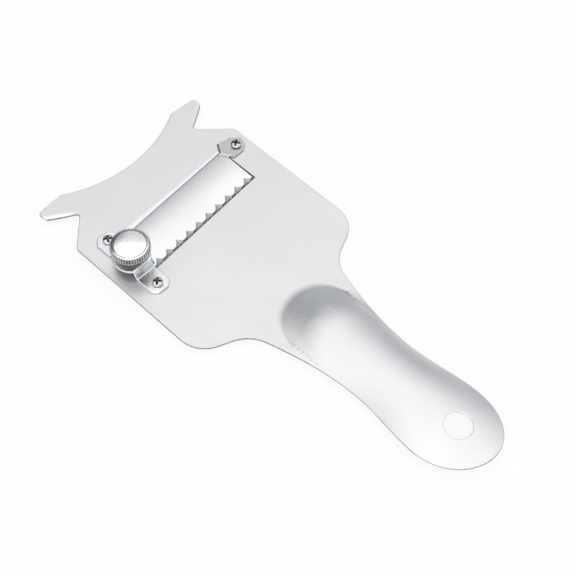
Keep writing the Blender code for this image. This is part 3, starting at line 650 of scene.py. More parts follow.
class SheetBuilder:
    # A solid sheet over flat loops, with rounded rims. Its two surfaces and the darkening on its walls (grime and
    # painted shade) come from functions of (x, y), and probe is the step over which a surface's slope is read.
    leastRegion = 1e-6 * mm * mm  # a smaller region of the flat outline is only a sliver outside it
    mostRounding = 0.42           # of the sheet's thickness

    def __init__(self, upperAt, lowerAt, probe, wallGrimeAndShadeAt):
        self.upperAt, self.lowerAt, self.probe, self.wallGrimeAndShadeAt = upperAt, lowerAt, probe, wallGrimeAndShadeAt
        self.points, self.normals, self.faces = [], [], []
        self.marks = {"edge": [], "recess": []}

    def addPoint(self, place, normal, edge=0.0, recess=0.0):
        self.points.append(place)
        self.normals.append(normal)
        self.marks["edge"].append(edge)
        self.marks["recess"].append(recess)
        return len(self.points) - 1

    def normalsAt(self, x, y):
        return surfaceNormal(self.upperAt, x, y, self.probe), -surfaceNormal(self.lowerAt, x, y, self.probe)

    def addPair(self, x, y):
        up, down = self.normalsAt(x, y)
        return self.addPoint(self.upperAt(x, y), up), self.addPoint(self.lowerAt(x, y), down)

    def addRing(self, loop, steps, radii, angle):
        # One line of points round the rim: at angle 0 it is on the wall, at 90 degrees on the face.
        upper, lower = [], []
        for here, step, radius in zip(loop, steps, radii):
            x, y = here + step * radius * (1 - math.cos(angle))
            drop = radius * (1 - math.sin(angle))
            up, down = self.normalsAt(x, y)
            out = Vector((-step.x, -step.y, 0)).normalized()
            lean, turn = math.cos(angle), math.sin(angle)
            # The middle of the rounding gets the brightening mark (rubbing and painted highlight), the wall the
            # darkening mark (grime and painted shade).
            marks = (4 * lean * turn * turn, min(lean * self.wallGrimeAndShadeAt(*here), 1))
            for ring, faceAt, normal in ((upper, self.upperAt, up), (lower, self.lowerAt, down)):
                outward = (out - normal * out.dot(normal)).normalized()
                ring.append(self.addPoint(faceAt(x, y) - normal * drop, normal * turn + outward * lean, *marks))
        return upper, lower

    def build(self, loops, lines, spots, rimRadius, rimSteps):
        flat, edges, rims = [], [], []
        for number, loop in enumerate(loops):
            loop = facingLeft([Vector(point) for point in loop], number == 0)
            steps = inwardSteps(loop)
            radii = []
            for x, y in loop:
                thickness = (self.upperAt(x, y) - self.lowerAt(x, y)).length
                radii.append(min(rimRadius, self.mostRounding * thickness))
            radii = easeRadii(loop, steps, radii)
            first = len(flat)
            flat += [here + step * radius for here, step, radius in zip(loop, steps, radii)]
            edges += [(first + i, first + (i + 1) % len(loop)) for i in range(len(loop))]
            rims.append((loop, steps, radii, first))
        walls = [[tuple(point) for point in flat[first : first + len(loop)]] for loop, _, _, first in rims]
        wallCount = len(edges)
        for line in lines:
            first = len(flat)
            flat += [Vector(point) for point in line]
            edges += [(first + i, first + i + 1) for i in range(len(line) - 1)]
        flat += [Vector(spot) for spot in spots]
        placed, borders, faces, sources, borderSources, _ = delaunay_2d_cdt(flat, edges, [], 0, 1e-8)
        middles = np.array([sum((placed[i] for i in face), Vector((0, 0))) / len(face) for face in faces])
        keep = insideLoop(middles, walls[0])
        for wall in walls[1:]:
            keep &= ~insideLoop(middles, wall)
        # A sliver on a straight wall can't be told by its middle, so it goes with the faces that it joins.
        wallEdges = {
            frozenset(border) for border, group in zip(borders, borderSources) if any(i < wallCount for i in group)
        }
        regions = regionsOf(faces, wallEdges)
        inside = {}
        for face, region, kept in zip(faces, regions, keep):
            area = flatArea([placed[i] for i in face])
            inside[region] = inside.get(region, 0.0) + (area if kept else -area)
        keep = [inside[region] > self.leastRegion for region in regions]
        pairs = {}
        for face, kept in zip(faces, keep):
            if not kept:
                continue
            for i in face:
                if i not in pairs:
                    pairs[i] = self.addPair(*placed[i])
            self.faces.append([pairs[i][0] for i in face])
            self.faces.append([pairs[i][1] for i in reversed(face)])
        where = {source: i for i, group in enumerate(sources) for source in group}
        for loop, steps, radii, first in rims:
            for i in range(len(loop)):
                if where[first + i] not in pairs:
                    pairs[where[first + i]] = self.addPair(*placed[where[first + i]])
            inner = [pairs[where[first + i]] for i in range(len(loop))]
            rings = [self.addRing(loop, steps, radii, math.pi / 2 * k / rimSteps) for k in range(rimSteps)]
            chain = [[pair[1] for pair in inner]] + [ring[1] for ring in reversed(rings)]
            chain += [ring[0] for ring in rings] + [[pair[0] for pair in inner]]
            for low, high in zip(chain, chain[1:]):
                self.faces += bandBetween(low, high)
        return self


sharpFrom = math.radians(38)         # an edge that bends more than this stays sharp


def addPiece(name, points, faces, materials, node, body, marks, normals=None, faceMaterial=None):
    mesh = bpy.data.meshes.new(name)
    mesh.from_pydata([tuple(point) for point in points], [], faces)
    for material in materials:
        mesh.materials.append(material)
    data = bmesh.new()
    data.from_mesh(mesh)
    bmesh.ops.recalc_face_normals(data, faces=data.faces)
    data.to_mesh(mesh)
    data.free()
    if faceMaterial:
        for face in mesh.polygons:
            face.material_index = faceMaterial(face.center)
    mesh.shade_smooth()
    for label, values in marks.items():
        layer = mesh.attributes.new(label, "FLOAT", "POINT")
        layer.data.foreach_set("value", np.array(values, np.float32))
    if normals:
        mesh.normals_split_custom_set_from_vertices([tuple(normal) for normal in normals])
    piece = addObject(name, mesh)
    if not normals:
        mesh.set_sharp_from_angle(angle=sharpFrom)
        even = piece.modifiers.new("evenNormals", "WEIGHTED_NORMAL")
        even.weight = 80
        even.keep_sharp = True
    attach(piece, body)
    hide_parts(node)
    return piece


def addSheet(name, made, materials, node, body, faceMaterial=None):
    return addPiece(name, made.points, made.faces, materials, node, body, made.marks, made.normals, faceMaterial)


def stackRings(rings, closed=False):
    # Joins rings of points, each a list of the same length or a single point at an end, into faces.
    points, faces, marks = [], [], []
    for ring in rings:
        marks.append(list(range(len(points), len(points) + len(ring))))
        points += ring
    for low, high in zip(marks, marks[1:]):
        if len(low) == 1:
            faces += [[low[0], high[i], high[(i + 1) % len(high)]] for i in range(len(high))]
        elif len(high) == 1:
            faces += [[low[i], low[(i + 1) % len(low)], high[0]] for i in range(len(low))]
        else:
            faces += bandBetween(low, high)
    if closed:
        faces += bandBetween(marks[-1], marks[0])
    return points, faces, marks


def turnedPoint(centre, away, turn, height):
    return (centre[0] + away * math.cos(turn), centre[1] + away * math.sin(turn), height * mm)


def turnedRings(profile, steps, centre):
    rings = []
    for radius, height in profile:
        if radius < 1e-9:
            rings.append([(centre[0], centre[1], height)])
        else:
            rings.append([(x, y, height) for x, y in circleLoop(centre, radius, steps)])
    return rings


# Heights and places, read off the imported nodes
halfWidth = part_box("body_plate")[1].y
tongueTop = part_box("blade")[1].z
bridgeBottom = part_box("knob_bridge")[0].z
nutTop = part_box("blade_nut")[1].z
knobLow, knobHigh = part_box("thumb_knob")
studLow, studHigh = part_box("knob_stud")
washerLow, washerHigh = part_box("swivel_washer")

seatGap = 0.1 * mm                   # between seated faces, as in the CAD
plateSheet = 1.0 * mm
plateBottom = nutTop + seatGap
plateTop = plateBottom + plateSheet
bodyLength = 200.0
halfLength = bodyLength / 2 * mm


def nodeCentre(node):
    low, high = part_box(node)
    return Vector(((low.x + high.x) / 2, (low.y + high.y) / 2))


knobCentre = nodeCentre("thumb_knob")
screwPlaces = {name: nodeCentre(name) for name in ("blade_screw", "bridge_screw_front", "bridge_screw_rear")}


def along(station):
    # A station is measured from the front of the horns, in millimetres.
    return station * mm - halfLength


def sheetPlace(x, y):
    # The station of a place and its distance to the side, in millimetres.
    return (x + halfLength) / mm, y / mm


# Sheet body with its arched handle

bodyLook = {
    "rim": 0.30 * mm,                # rounding of the sheared edge
    "rimSteps": 4,
    "throat": {"halfWidth": 30.2, "depth": 8.5, "steps": 40},
    "horn": {"setback": 0.81, "halfSpan": 42.6, "tipWidth": 4.2, "tipRadius": 1.8, "rootRadius": 1.4},
    "curl": {"width": 1.8, "drop": 0.6},
    "notch": (12.7, 30.9),
    "shoulder": (24.9, 2.5),
    "rearCorner": (93.1, 13.0),
    "neck": (100.9, 24.6, 14.5),
    "flank": (107.0, 21.8, 1.83),
    "waist": (147.5, 15.0),
    "palm": (177.5, 17.65),
    "arch": {
        "rise": 5.6, "tipFall": 2.0, "fallStation": 160.0, "start": 98.8, "startLength": 14.0,
        "startHalfWidth": 15.6, "ramp": 24.6, "bend": 0.14, "straight": 0.58,
    },
    "hangingHole": (183.0, 5.4),
    "window": ((33.7, -27.3), (53.9, -27.3), (49.4, 30.9), (29.8, 30.9)),
    "windowCorner": 0.4,
    "lip": {"right": 1.2, "left": 2.2, "fall": 0.35, "end": 1.5},
    "rearSlot": 0.4,
    "rearSlotReach": 0.5,            # how far the slot runs past the ear's corner
    "rearSlotCorner": 0.1,
    "peenHole": 2.5,
    "screwHole": 1.45,
    # Station from and to, side from and to, and darkening of the sheared wall there, which is painted shade in the
    # narrow gaps by the blade and along the throat. The first that fits counts.
    "wallGrimeAndShade": ((28, 36, -28.3, 29.9, 0.12), (25, 56, -28.3, 33.9, 1.0), (-1, 9, -31, 31, 2.5)),
    # elsewhere the sheared wall is darker steel with painted shade
    "plainGrimeAndShade": 0.75,
    "holeMargin": 1.0,               # the wall is left without darkening this far round the hanging hole
    "dressing": {"start": 1.5, "fadeIn": 1.5, "fadeOut": 9.0, "middle": -2.0, "halfWidth": 12.0, "fadeAside": 8.0},
    # Spacing of the points, and numbers of steps
    "mesh": {
        "outline": 1.6, "window": 1.0, "arch": 1.3, "horn": 0.45, "clear": 0.4, "footClear": 0.45,
        "gripSteps": 60, "endSteps": 32, "footSteps": 44, "footShifts": (-1.0, 0, 0.6, 1.2, 1.8, 2.4, 3.0, 3.6),
        "lipRows": 97, "lipShares": (0.25, 0.4, 0.55, 0.7, 0.85, 1.0, 1.15),
    },
    "probe": 0.08 * mm,              # the step over which a surface's slope is read
    "undersideProbe": 0.1 * mm,
    "footMargin": 0.8,               # the foot's lines end this far inside the handle's sides
    "archSpan": (97.5, 24.0),        # first station and half width of the finely divided part
    "hornSpan": (0.5, 13.5, 29.0, 43.0),
    "steel": steelLook(
        colour=(0.812, 0.816, 0.825), streakColour=(0.78, 0.784, 0.795), smudgeColour=(0.80, 0.804, 0.814),
        roughness=0.385, bump=0.14, streaks=0.12, edgeRub=0.3, grimeColour=(0.05, 0.05, 0.052), dress=0.55,
        dressSize=1500.0,
    ),
}


def handleHalfWidth(station):
    waist, waistWidth = bodyLook["waist"]
    flank, flankWidth, power = bodyLook["flank"]
    palm, palmWidth = bodyLook["palm"]
    if station < waist:
        return mix(waistWidth, flankWidth, max((waist - station) / (waist - flank), 0) ** power)
    return mix(waistWidth, palmWidth, smoothShare((station - waist) / (palm - waist)))


def hornBack():
    horn = bodyLook["horn"]
    return Vector((along(horn["setback"] + horn["tipWidth"]), horn["halfSpan"] * mm)), Vector(
        (along(bodyLook["notch"][0]), bodyLook["notch"][1] * mm)
    )


def bodyHalf():
    throat, horn = bodyLook["throat"], bodyLook["horn"]
    radius = (throat["halfWidth"] ** 2 + throat["depth"] ** 2) / (2 * throat["depth"])
    widest = math.asin(throat["halfWidth"] / radius)
    centre = throat["depth"] - radius
    arc = []
    for step in range(throat["steps"] + 1):
        angle = widest * step / throat["steps"]
        arc.append((along(centre + radius * math.cos(angle)), radius * math.sin(angle) * mm))
    tip, root = hornBack()
    neck, corner = bodyLook["neck"], bodyLook["rearCorner"]
    corners = [
        (*arc[-4], 0),
        (*arc[-1], horn["rootRadius"] * mm),
        (along(horn["setback"]), horn["halfSpan"] * mm, horn["tipRadius"] * mm),
        (*tip, horn["tipRadius"] * mm),
        (*root, horn["rootRadius"] * mm),
        (along(bodyLook["shoulder"][0]), halfWidth, bodyLook["shoulder"][1] * mm),
        (along(corner[0]), halfWidth, corner[1] * mm),
        (along(neck[0]), neck[1] * mm, neck[2] * mm),
        (along(bodyLook["flank"][0]), bodyLook["flank"][1] * mm, 0),
    ]
    points = arc[:-4] + arcChain(corners, 5.0)[:-1]
    flank, (palm, palmWidth) = bodyLook["flank"][0], bodyLook["palm"]
    gripSteps, endSteps = bodyLook["mesh"]["gripSteps"], bodyLook["mesh"]["endSteps"]
    for step in range(gripSteps):
        station = mix(flank, palm, step / gripSteps)
        points.append((along(station), handleHalfWidth(station) * mm))
    for step in range(endSteps + 1):
        angle = math.pi / 2 * step / endSteps
        reach = (bodyLength - palm) * math.sin(angle)
        points.append((along(palm + reach), palmWidth * math.cos(angle) * mm))
    return points


def bodyOutline():
    half = bodyHalf()
    return half + [(x, -y) for x, y in reversed(half)][1:-1]


def rampShare(value, bend, straight):
    # Bends upwards, rises at one slope, then levels out evenly to its end.
    value = min(max(value, 0), 1)
    slope = 2 / (1 + straight - bend)
    if value < bend:
        return slope * value**2 / bend / 2
    if value < straight:
        return slope * (value - bend / 2)
    return 1 - slope * (1 - value) ** 2 / (1 - straight) / 2


def archFoot(side):
    # The station at which the ramp starts, this far to the side.
    arch = bodyLook["arch"]
    across = min(abs(side) / arch["startHalfWidth"], 1)
    return arch["start"] + arch["startLength"] * (1 - math.sqrt(1 - across * across))


def archHeight(x, y):
    arch = bodyLook["arch"]
    station, side = sheetPlace(x, y)
    ramp = rampShare((station - archFoot(side)) / arch["ramp"], arch["bend"], arch["straight"])
    fall = smoothShare((station - arch["fallStation"]) / (bodyLength - arch["fallStation"]))
    crown = arch["rise"] - arch["tipFall"] * fall
    section = handleHalfWidth(min(station, bodyLook["palm"][0]))
    return crown * ramp * max(1 - (side / section) ** 2, 0) * mm


def curlDrop(x, y):
    tip, root = hornBack()
    run = root - tip
    direction = run.normalized()
    offset = Vector((x, abs(y))) - tip
    reach = offset.dot(direction)
    away = abs(offset.x * direction.y - offset.y * direction.x) / mm
    width = bodyLook["curl"]["width"]
    if away > width or reach > run.length or x > root.x:
        return 0.0
    fade = smoothShare((run.length - reach) / (run.length / 2))
    return bodyLook["curl"]["drop"] * fade * (1 - away / width) ** 2 * mm


def lipDrop(x, y):
    # The window's rear edge is rolled down beside the blade, over a strip that widens to the left.
    lip, ((rearLeft, left), _, (_, right), (rearRight, _)) = bodyLook["lip"], bodyLook["window"]
    station, side = sheetPlace(x, y)
    share = min(max((right - side) / (right - left), 0), 1)
    width = mix(lip["right"], lip["left"], share)
    rolled = max(1 - abs(station - mix(rearRight, rearLeft, share)) / width, 0)
    fromEnd = min(right - side, side - left)
    return lip["fall"] * width * rolled**2 * smoothShare(fromEnd / lip["end"]) * mm


def bodyUpper(x, y):
    return Vector((x, y, plateTop + archHeight(x, y) - curlDrop(x, y) - lipDrop(x, y)))


def bodyLower(x, y):
    return bodyUpper(x, y) - surfaceNormal(bodyUpper, x, y, bodyLook["undersideProbe"]) * plateSheet


rowShare = 0.866                     # the rows of evenly spread points are this share of a gap apart


def honeycomb(x0, x1, y0, y1, gap):
    # Evenly spread points, every other row shifted by half a gap.
    spots = []
    rows = int((x1 - x0) / (gap * rowShare)) + 1
    for row in range(rows):
        x = x0 + row * gap * rowShare
        y = y0 + (gap / 2 if row % 2 else 0)
        while y < y1:
            spots.append((x, y))
            y += gap
    return spots


def clearOf(spots, loops, gap):
    # Leaves out spots that lie closer than this to a loop's points.
    rim = np.array([tuple(point) for loop in loops for point in loop])
    kept, atOnce = [], 400
    for start in range(0, len(spots), atOnce):
        part = np.array(spots[start : start + atOnce])
        away = np.linalg.norm(part[:, None, :] - rim[None, :, :], axis=2).min(axis=1)
        kept += [tuple(spot) for spot, distance in zip(part, away) if distance > gap]
    return kept


def rearSlotCorners(rearRight, rearLeft):
    # The slot beside the ear's rear side, from where it leaves the window's rear edge and back.
    foot, end = (earPlace + Vector(corner) * mm for corner in bladeLook["earCorners"][:2])
    outward = (end - foot).normalized()
    end += outward * bodyLook["rearSlotReach"] * mm
    aside = Vector((-outward.y, outward.x)) * bodyLook["rearSlot"] * mm
    near = intersect_line_line_2d(foot, end, rearRight, rearLeft)
    far = intersect_line_line_2d(foot + aside, end + aside, rearRight, rearLeft)
    return [(*corner, bodyLook["rearSlotCorner"] * mm) for corner in (near, end, end + aside, far)]


def archFootLines():
    # Lines along the foot of the ramp, so that its bend stays crisp in the mesh.
    arch, lines, steps = bodyLook["arch"], [], bodyLook["mesh"]["footSteps"]
    for shift in bodyLook["mesh"]["footShifts"]:
        line = []
        for step in range(-steps, steps + 1):
            angle = math.radians(86) * step / steps
            station = arch["start"] + arch["startLength"] * (1 - math.cos(angle)) + shift
            side = arch["startHalfWidth"] * math.sin(angle)
            if abs(side) < handleHalfWidth(station) - bodyLook["footMargin"]:
                line.append((along(station), side * mm))
        lines.append(line)
    return lines


def bodyWallGrimeAndShade(x, y):
    # How dark the sheared wall is: painted shade deep in the narrow gaps and along the throat, darker steel with
    # painted shade elsewhere, and no darkening round the hanging hole.
    station, side = sheetPlace(x, y)
    hole, radius = bodyLook["hangingHole"]
    if math.hypot(station - hole, side) < radius + bodyLook["holeMargin"]:
        return 0.0
    for start, end, left, right, grime in bodyLook["wallGrimeAndShade"]:
        if start < station < end and left < side < right:
            return grime
    return bodyLook["plainGrimeAndShade"]


def bodyDressing(x, y):
    # The ramp was dressed after it was pressed, most of all low down beside its middle.
    look = bodyLook["dressing"]
    station, side = sheetPlace(x, y)
    foot = archFoot(side)
    low = smoothShare((station - foot - look["start"]) / look["fadeIn"])
    low *= smoothShare((foot + bodyLook["arch"]["ramp"] - station) / look["fadeOut"])
    return low * smoothShare((look["halfWidth"] - abs(side - look["middle"])) / look["fadeAside"])


def windowLoop():
    corners = [Vector((along(station), side * mm)) for station, side in bodyLook["window"]]
    rounding = [(*corner, bodyLook["windowCorner"] * mm) for corner in corners]
    return arcLoop(rounding + rearSlotCorners(corners[-1], corners[0]), 15.0)


def makeBody():
    mesh = bodyLook["mesh"]
    loops = [divided(bodyOutline(), mesh["outline"] * mm), divided(windowLoop(), mesh["window"] * mm)]
    hole, radius = bodyLook["hangingHole"]
    loops += [holeLoop((along(hole), 0), radius, 72), holeLoop(knobCentre, bodyLook["peenHole"], 40)]
    loops += [holeLoop(place, bodyLook["screwHole"], 32) for place in screwPlaces.values()]
    feet = archFootLines()
    start, half = bodyLook["archSpan"]
    spots = honeycomb(along(start), halfLength, -half * mm, half * mm, mesh["arch"] * mm)
    spots = clearOf(spots, feet, mesh["footClear"] * mm)
    front, back, inner, outer = bodyLook["hornSpan"]
    for side in (1, -1):
        low, high = sorted((side * inner * mm, side * outer * mm))
        spots += honeycomb(along(front), along(back), low, high, mesh["horn"] * mm)
    (rearLeft, left), _, (_, right), (rearRight, _) = bodyLook["window"]
    for row in range(1, mesh["lipRows"]):
        share = row / mesh["lipRows"]
        width = mix(bodyLook["lip"]["right"], bodyLook["lip"]["left"], share)
        for across in mesh["lipShares"]:
            spots.append((along(mix(rearRight, rearLeft, share) - width * across), mix(right, left, share) * mm))
    spots = clearOf(spots, loops, mesh["clear"] * mm)
    made = SheetBuilder(bodyUpper, bodyLower, bodyLook["probe"], bodyWallGrimeAndShade)
    made.build(loops, feet, spots, bodyLook["rim"], bodyLook["rimSteps"])
    made.marks["dressed"] = [bodyDressing(point.x, point.y) for point in made.points]
    steel = makeSteel("satinPlateSteel", bodyLook["steel"])
    return addSheet("slicerBody", made, [steel], "body_plate", "root")


# Blade

bladeLook = {
    "rim": 0.1 * mm,
    "rimSteps": 2,
    "sheet": 0.7,
    "gap": {"rear": 0.05, "right": 0.55, "left": 1.15},  # behind the blade, and before it at either end
    "endGap": 0.32,
    "archRise": 0.75,
    "depth": {"rightBack": 0.4, "rightEdge": 0.65, "leftBack": 0.9, "leftEdge": 1.6},
    "bevel": 0.7,
    "land": 0.12,
    "pitch": 5.7,
    "reach": 2.8,                    # how far a notch's grind runs in from the edge
    "notch": {"span": 0.37, "power": 1.3, "steeper": 0.25},
    "recess": {"depth": 0.6, "span": 0.24},
    "margin": 2.2,
    "relief": 0.4,
    "joggle": 0.6,                   # how far the sheet runs while it rises to the ear
    "joggleInset": 0.1,
    "tongueJoggle": 1.5,
    "earLift": 0.3,
    "earCorners": ((-1.4, -7.4), (-5.8, -4.6), (-4.9, 0.8), (-1.6, 4.5), (2.1, 3.1), (3.7, 0.5), (3.8, -4.9)),
    "earCornerRadii": (0.2, 0.25, 0.8, 0.8, 0.8, 0.8, 0.5),
    "earSlotOffset": 2.3,
    "tongueHalfWidth": 4.8,
    "tongueReach": 4.4,
    "tongueCorner": 1.5,
    "tongueRoot": 0.25,
    "studHole": 1.55,
    "screwHole": 1.5,
    # darkening of the sheared walls: grime and painted shade
    "wallGrimeAndShade": 0.3,
    # Along the rise to the ear, a painted highlight on its top bend and painted shade at its foot: share of the rise in
    # the middle of each mark, its width and its sharpness
    "riseHighlight": (0.7, 2.5, 4.0),
    "riseShade": (-0.15, 1.5, 5.0),
    "riseShadeMost": 0.8,
    "riseReach": (0.5, 0.3),         # how far the marks reach before the rise and past it
    "probe": 0.03 * mm,
    "crestInset": 0.15,
    # Spacing of the points, and numbers of steps
    "mesh": {
        "edgeRows": 232, "crestRows": 464, "rows": 84, "columns": 26, "faceShare": 0.86,
        "insets": (0.25, 0.5, 0.75, 1.0, 1.25, 1.5, 1.75, 2.0, 2.25, 2.5, 2.8),
        "riseShares": (-0.25, 0, 0.12, 0.25, 0.4, 0.55, 0.7, 0.85, 1, 1.25), "risePoints": 14,
        "riseInsets": (0.35, 0.15), "ear": 0.3, "tongue": 0.4, "clear": 0.1,
    },
    "steel": steelLook(
        colour=(0.80, 0.802, 0.81), streakColour=(0.78, 0.783, 0.79), roughness=0.19, fineness=1.3,
        turn=(0, 0, 1.62), bump=0.03, streaks=0.2, grimeColour=(0.12, 0.12, 0.125),
    ),
    "earSteel": steelLook(
        colour=(0.62, 0.623, 0.63), streakColour=(0.57, 0.573, 0.58), smudgeColour=(0.55, 0.553, 0.56),
        roughness=0.36, fineness=1.2, bump=0.6, smudges=0.7, smudgeSize=420.0, grime=0.0, edgeRub=1.0,
        edgeColour=(0.95, 0.95, 0.96),
    ),
    "grindSteel": steelLook(
        colour=(0.46, 0.463, 0.47), streakColour=(0.30, 0.303, 0.31), smudgeColour=(0.36, 0.363, 0.37),
        roughness=0.34, fineness=1.0, bump=0.6, streaks=0.9, smudges=0.8, smudgeSize=700.0,
    ),
}
windowFront = (bodyLook["window"][1][0], bodyLook["window"][2][0])  # stations at the left and the right end
windowRear = (bodyLook["window"][0][0], bodyLook["window"][3][0])
windowRight = bodyLook["window"][2][1] * mm
windowLeft = bodyLook["window"][0][1] * mm
bladeRight = windowRight - bladeLook["endGap"] * mm
bladeLeft = windowLeft + bladeLook["endGap"] * mm
tongueRun = bladeLook["tongueJoggle"] * mm
earPlace = screwPlaces["blade_screw"]
earFoot = earPlace + Vector(bladeLook["earCorners"][0]) * mm
earFront = earPlace + Vector(bladeLook["earCorners"][-1]) * mm
intoEar = Vector((earFoot.y - earFront.y, earFront.x - earFoot.x)).normalized()
slotStart = earPlace.x + bladeLook["earSlotOffset"] * mm
reliefWidth = bladeLook["relief"] * mm
earTop = plateTop + (bladeLook["earLift"] + bladeLook["sheet"]) * mm


def bladeEdge(y):
    share, gap = (windowRight - y) / (windowRight - windowLeft), bladeLook["gap"]
    return along(mix(windowFront[1] - gap["right"], windowFront[0] - gap["left"], share))


def bladeBack(y):
    share = (windowRight - y) / (windowRight - windowLeft)
    return along(mix(windowRear[1], windowRear[0], share) + bladeLook["gap"]["rear"])


def notchPlaces():
    first = bladeLeft + bladeLook["margin"] * mm
    room = bladeRight - bladeLook["margin"] * mm - first
    pitch = bladeLook["pitch"] * mm
    count = int(room / pitch) + 1
    return [first + (room - pitch * (count - 1)) / 2 + pitch * i for i in range(count)]


notches = notchPlaces()


def grindReach(y):
    # How far in from the edge the sheet is ground: a narrow bevel that runs up into a point at each notch.
    aside = min(min(abs(y - place) for place in notches) / (bladeLook["pitch"] * mm), 0.5)
    swell = max(1 - aside / bladeLook["notch"]["span"], 0) ** bladeLook["notch"]["power"]
    return mix(bladeLook["bevel"], bladeLook["reach"], swell) * mm


def edgeRecess(y):
    aside = min(abs(y - place) for place in notches) / (bladeLook["pitch"] * mm)
    return bladeLook["recess"]["depth"] * mm * max(1 - aside / bladeLook["recess"]["span"], 0)


def grindDepth(x, y):
    inset = bladeEdge(y) - x
    reach = grindReach(y)
    steeper = 1 + bladeLook["notch"]["steeper"] * (reach / mm - bladeLook["bevel"]) / bladeLook["reach"]
    depth = steeper * (1 - inset / reach)
    return (bladeLook["sheet"] - bladeLook["land"]) * mm * min(max(depth, 0), 1)


def pastFoot(x, y):
    # How far a point lies past the line from the ear's foot to its front corner, in millimetres.
    return (Vector((x, y)) - earFoot).dot(intoEar) / mm


def atShare(x, share):
    # Where, at this x, the sheet has risen by this share towards the ear.
    away = (bladeLook["joggle"] * (share - 1) - bladeLook["joggleInset"]) * mm
    return earFoot.y + (away - (x - earFoot.x) * intoEar.x) / intoEar.y


def joggleShare(x, y):
    right = smoothShare((pastFoot(x, y) + bladeLook["joggleInset"]) / bladeLook["joggle"] + 1)
    left = smoothShare((bladeLeft + tongueRun - y) / tongueRun)
    behindSlot = x < slotStart + reliefWidth / 2
    pastEnd = y > bladeRight + bladeLook["endGap"] * mm / 2
    if right > 0 and (behindSlot or pastEnd):
        return right, earTop
    if left > 0 and abs(x - knobCentre.x) < bladeLook["tongueHalfWidth"] * mm + reliefWidth / 2:
        return left, tongueTop
    return 0.0, 0.0


def bladeLevel(x, y):
    share = min(max((x - bladeBack(y)) / (bladeEdge(y) - bladeBack(y)), 0), 1)
    fromRight = min(max((windowRight - y) / (windowRight - windowLeft), 0), 1)
    depth = bladeLook["depth"]
    back = mix(depth["rightBack"], depth["leftBack"], fromRight)
    chord = mix(back, mix(depth["rightEdge"], depth["leftEdge"], fromRight), share)
    level = plateTop - (chord - bladeLook["archRise"] * 4 * share * (1 - share)) * mm
    risen, high = joggleShare(x, y)
    return mix(level, high, risen)


def bladeUpper(x, y):
    return Vector((x, y, bladeLevel(x, y) - grindDepth(x, y)))


def bladeLower(x, y):
    return Vector((x, y, bladeLevel(x, y) - bladeLook["sheet"] * mm))


def bladeOutline():
    rising = (1, 0.85, 0.7, 0.55, 0.4, 0.25, 0.12, 0)
    edge = [(slotStart, atShare(slotStart, share)) for share in rising]
    edge += [(slotStart + reliefWidth, edge[-1][1]), (slotStart + reliefWidth, bladeRight)]
    rows = bladeLook["mesh"]["edgeRows"]
    for row in range(rows + 1):
        y = mix(bladeRight, bladeLeft, row / rows)
        edge.append((bladeEdge(y) - edgeRecess(y), y))
    deep = bladeLeft + tongueRun
    half, root = bladeLook["tongueHalfWidth"] * mm, bladeLook["tongueRoot"] * mm
    outer = half + reliefWidth
    side = [(outer, bladeLeft, 0), (outer, deep, root), (half, deep, root)]
    side += [(half, deep - tongueRun * share, 0) for share in (0.2, 0.4, 0.6, 0.8, 1)]
    side.append((half, knobCentre.y - bladeLook["tongueReach"] * mm, bladeLook["tongueCorner"] * mm))
    front = [(knobCentre.x + x, y, radius) for x, y, radius in side]
    back = [(knobCentre.x - x, y, radius) for x, y, radius in reversed(side)]
    corners = [
        (earPlace.x + x * mm, earPlace.y + y * mm, radius * mm)
        for (x, y), radius in zip(bladeLook["earCorners"], bladeLook["earCornerRadii"])
    ]
    first, last = bladeLook["earCorners"][0], bladeLook["earCorners"][-1]
    share = (last[0] - bladeLook["earSlotOffset"]) / (last[0] - first[0])
    meet = earPlace.y + mix(last[1], first[1], share) * mm
    start = Vector((bladeBack(earFoot.y), atShare(bladeBack(earFoot.y), 0)))
    rise = [(*start.lerp(corners[0][:2], k / 8), 0) for k in range(8)]
    ear = arcChain([*rise, *corners, (slotStart, meet)])
    return edge + arcChain(front + back) + [(bladeBack(bladeLeft), bladeLeft)] + ear


def bladeSpots():
    spots, mesh = [], bladeLook["mesh"]
    rows, columns, edgeRows = mesh["rows"], mesh["columns"], mesh["edgeRows"]
    for row in range(1, rows):
        y = mix(bladeLeft, bladeRight, row / rows)
        for column in range(1, columns):
            share = column / columns * mesh["faceShare"]
            spots.append((mix(bladeBack(y), bladeEdge(y), share), y))
    for row in range(1, edgeRows):
        y = mix(bladeLeft, bladeRight, row / edgeRows)
        for inset in mesh["insets"]:
            spots.append((bladeEdge(y) - edgeRecess(y) * max(1 - inset / 2, 0) - inset * mm, y))
    spots += honeycomb(bladeBack(earFoot.y), slotStart, earFoot.y - 3 * mm, bladeRight + 2 * mm, mesh["ear"] * mm)
    half, middle = bladeLook["tongueHalfWidth"] * mm, knobCentre.x
    spots += honeycomb(middle - half, middle + half, bladeLeft - 0.5 * mm, bladeLeft + tongueRun, mesh["tongue"] * mm)
    return spots


def joggleLines():
    # Lines along the rise to the ear, so that its bends stay crisp.
    lines, mesh = [], bladeLook["mesh"]
    before, after = mesh["riseInsets"]
    for share in mesh["riseShares"]:
        start = mix(bladeBack(earFoot.y), earFoot.x, min(max(share, 0), 1)) + before * mm
        stations = np.linspace(start, slotStart - after * mm, mesh["risePoints"])
        lines.append([(x, atShare(x, share)) for x in stations])
    return lines


def bladeFinish(centre):
    if pastFoot(centre.x, centre.y) > -bladeLook["joggleInset"] - bladeLook["joggle"] and centre.x < slotStart:
        return 1
    if centre.y > bladeRight:
        return 1
    inset = bladeEdge(centre.y) - centre.x
    return 2 if inset < grindReach(centre.y) and centre.z < plateTop else 0


